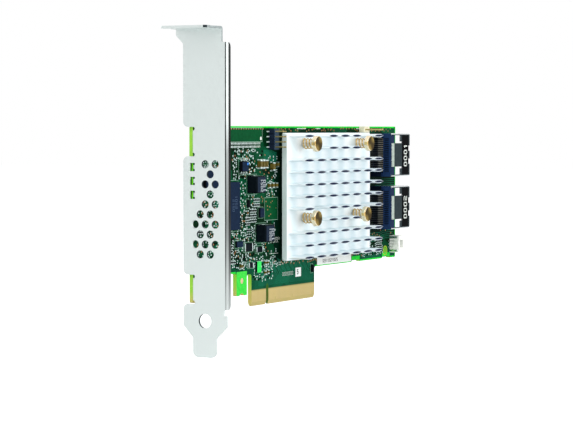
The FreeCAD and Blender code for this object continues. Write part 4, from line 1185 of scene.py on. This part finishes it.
def footprints():
    """Empty places, pads by the parts' ends, and ink outlines and ticks."""
    pours = Sheet("front_pours", 0.6)
    ink = Sheet("front_ink", 3)
    pads = Sheet("front_pads", 2.2)
    faint = Sheet("front_faint_ink", 3)
    for x, z, width, height in FOOTPRINTS:
        pours.box(x, z, width, height)
        faint.frame(x, z, width + 0.7, height + 0.7, 0.16)
    for z in PAD_ROWS:
        for n in range(22):
            pads.box(-28.0 + 1.05 * n, z, 0.6, 0.75)
    ink.box(-5.1, 64.2, 1.2, 1.2)
    for node, grow in (("memory_chip", 1.2), ("flash_chip", 3.0), ("regulator_chip", 2.6)):
        faint.around(*box(node), 0.8, grow, 0.14)
    for node in ("power_inductors", "transistors", "logic_chips", "shunt_resistors"):
        for low, high in boxes_of(node):
            faint.around(low, high, 0.8, 0.8, 0.13)
    for node in ("ceramic_capacitors", "chip_resistors"):
        for low, high in boxes_of(node):
            pads.end_pads(low, high, 0.12, 0.38)
    for low, high in boxes_of("transistors"):
        pads.box(low.x - 0.3, (low.z + high.z) / 2, 0.7, 0.6)
        pads.box(high.x + 0.3, low.z + 0.5, 0.7, 0.6)
        pads.box(high.x + 0.3, high.z - 0.5, 0.7, 0.6)
    for n in range(8):
        ink.frame(12.8 + 1.15 * n, 10.9, 0.6, 1.3, 0.11)
    for start, count in DASH_ROWS:
        for n in range(count):
            ink.box(start + 1.1 * n, 68.0, 0.7, 0.35)
    ink.bundle(6, 1.2, 0, [(2.0, 24.6), (2.6, 23.6)], 0.16)
    ink.bundle(6, 1.2, 0, [(2.0, 19.4), (2.7, 19.4)], 0.16)
    ink.bundle(14, 0.62, 0, [(1.9, 25.6), (2.2, 24.7)], 0.13)
    pours.done("pour")
    ink.done("ink")
    faint.done("ink_faint")
    pads.done("tin")


footprints()


def ground_pads():
    """Small bare pads, solder dabs and dark parts' shadows between the larger parts."""
    pads = Sheet("front_test_pads", 1.8)
    dabs = Sheet("front_solder", 2.1)
    darks = Sheet("front_clearances", 1.5)
    for region in PAD_REGIONS:
        for x, z in scattered(*region, 1.15):
            if not open_board(x, z, 0.55):
                continue
            kind = draw.random()
            if kind < 0.3:
                pads.box(x, z, 0.5, 0.7)
            elif kind < 0.5:
                pads.box(x, z, 0.8, 0.45)
            elif kind < 0.8:
                dabs.box(x, z - 0.42, 0.62, 0.38)
                dabs.box(x, z + 0.42, 0.62, 0.38)
                darks.box(x, z, 0.6, 0.45)
            else:
                darks.box(x, z, 1.3, 0.8)
    pads.done("solder")
    dabs.done("solder")
    darks.done("hole")


ground_pads()


def chip_marks():
    """Blue dot on the regulator, and plain digits on chips, inductors and labels."""
    low, high = box("regulator_chip")
    dot = Sheet("regulator_dot", 1, low.y)
    dot.disc(high.x - 0.65, high.z - 1.0, 0.5, 14)
    dot.done("blue_mark")
    for number, (low, high) in enumerate(boxes_of("power_inductors"), start=1):
        marks = Sheet(f"inductor_{number}_digits", 1, low.y)
        digits(marks, "150", high.x - 0.7, low.z + 0.9, 1.7, 0.3)
        digits(marks, "2051", high.x - 2.9, low.z + 0.7, 1.4, 0.27)
        marks.done("ink_grey")
    low, high = box("memory_chip")
    marks = Sheet("memory_digits", 1, low.y)
    centre = (low.z + high.z) / 2
    digits(marks, "2501", high.x - 2.2, centre - 1.0, 1.4, 0.2)
    digits(marks, "0512", high.x - 4.4, centre - 2.0, 1.3, 0.18)
    marks.done("ink_navy")
    labels = boxes_of("board_labels")
    marks = Sheet("label_digits", 1, labels[0][0].y)
    for low, high in labels:
        if high.x - low.x > 2 * (high.z - low.z):
            digits(marks, "0251105215025", low.x + 5.0, low.z + 0.9, 1.1, 0.2, False)
        else:
            digits(marks, "5", low.x + 1.3, low.z + 1.1, 1.6, 0.36, False)
    marks.done("label_black")


chip_marks()


def solder_side():
    """Vias, joints, traces and outlines of the board's solder side."""
    rings = Sheet("back_vias", 2, BACK)
    holes = Sheet("back_via_holes", 2.5, BACK)
    lines = Sheet("back_traces", 1, BACK)
    outline = Sheet("back_ink", 3, BACK)
    joints = Sheet("back_joints", 3.5, BACK)
    parts = boxes_of("backside_capacitors")
    pins = boxes_of("push_pins")
    taken = parts + pins + boxes_of("bracket_screws")
    for region in BACK_VIA_REGIONS:
        for x, z in scattered(*region, 1.0):
            if clear(x, z, 0.5, taken):
                rings.via(holes, x, z)
    for low, high in parts:
        joints.end_pads(low, high, 0.15, 0.45)
        outline.around(low, high, 0.7, 0.9, 0.12)
    for low, high in pins:
        outline.ring(*middle(low, high), 4.2, 3.9, 32)
    for low, high in boxes_of("lamp_header_posts"):
        joints.ring(*middle(low, high), 0.9, 0.5)
    for n in range(22):
        x = -9.0 + 2.2 * n
        drop = 2.5 + n % 3
        if x + drop < 38.5:
            lines.path([(x, 17.0), (x + drop, 17.0 - drop), (x + drop, 7.6)], 0.22)
    for n in range(16):
        z = 44.0 + 0.5 * n
        bend = 60.0 + 1.2 * n
        lines.path([(4.0, z), (bend, z), (bend + 4, z - 4), (108.0, z - 4)], 0.18)
    lines.bundle(12, 0.6, 0, [(-38.0, 64.0), (-38.0, 34.0), (-32.0, 28.0), (-32.0, 17.0)], 0.2)
    rings.done("copper")
    holes.done("hole")
    lines.done("trace")
    outline.done("ink_faint")
    joints.done("tin")


solder_side()

# Floor, camera and light, in metres
FLOOR_DROP = 0.00008
FLOOR_SIZE = 6.0
FLOOR_GLOW = 0.35
WORLD_LIGHT = 0.72
AIM = (0.02, 0.0, 0.045)


def floor():
    """Wide pale floor just below the bracket's tongue, a little brighter to the camera."""
    place = (0.4, 0.4, cad_box[0][2] - FLOOR_DROP)
    bpy.ops.mesh.primitive_plane_add(size=FLOOR_SIZE, location=place)
    plane = bpy.context.object
    plane.name = "floor"
    finish = Finish("floor", 0.9, specular=0.0)
    finish.colour(finish.between(finish.noise(40.0), (0.93, 0.93, 0.93), (0.95, 0.95, 0.95), 0.3))
    seen = finish.node("LightPath", {}).outputs["Is Camera Ray"]
    glow = finish.node("Emission", {"Strength": finish.maths("MULTIPLY", seen, FLOOR_GLOW)})
    both = finish.node("AddShader", {0: finish.shader.outputs["BSDF"], 1: glow.outputs["Emission"]})
    finish.feed(finish.output.inputs["Surface"], both.outputs["Shader"])
    plane.data.materials.append(LOOKS["floor"])


def world():
    """White to the camera and to reflections, softer as light."""
    bpy.context.scene.world = bpy.data.worlds.new("studio")
    tree = Tree(bpy.context.scene.world)
    seen = tree.node("Background", {"Color": (1.0, 1.0, 1.0), "Strength": 1.0})
    light = tree.node("Background", {"Color": (0.97, 0.985, 1.0), "Strength": WORLD_LIGHT})
    rays = tree.node("LightPath", {}).outputs
    mirrored = tree.maths("MAXIMUM", rays["Is Camera Ray"], rays["Is Glossy Ray"])
    white = tree.maths("MAXIMUM", mirrored, rays["Is Transmission Ray"])
    mixer = tree.node("MixShader", {"Fac": white, 1: light.outputs[0], 2: seen.outputs[0]})
    tree.node("OutputWorld", {"Surface": mixer.outputs[0]})


def aimed(name, data, place, forward):
    """Lamp or camera at a place, looking along a direction."""
    holder = bpy.data.objects.new(name, data)
    bpy.context.scene.collection.objects.link(holder)
    holder.location = place
    holder.rotation_euler = forward.to_track_quat("-Z", "Y").to_euler()
    return holder


def lamp(name, place, size, power):
    """Large soft lamp aimed at the card."""
    data = bpy.data.lights.new(name, "AREA")
    data.shape = "SQUARE"
    data.size = size
    data.energy = power
    aimed(name, data, place, Vector(AIM) - Vector(place))


def camera():
    """Camera at the photograph's viewing angle."""
    data = bpy.data.cameras.new("photo_camera")
    data.lens = CAMERA_LENS
    data.sensor_width = SENSOR_WIDTH
    flat = math.cos(CAMERA_PITCH)
    forward = (math.sin(CAMERA_YAW) * flat, math.cos(CAMERA_YAW) * flat, -math.sin(CAMERA_PITCH))
    bpy.context.scene.camera = aimed("photo_camera", data, CAMERA_PLACE, Vector(forward))


floor()
world()
lamp("key", (-0.7, -0.5, 0.7), 0.7, 6.0)
lamp("fill", (0.5, -0.9, 0.35), 0.8, 4.0)
lamp("back", (0.2, 0.9, 0.6), 0.8, 2.0)
camera()

view = bpy.context.scene.view_settings
view.view_transform = "Standard"
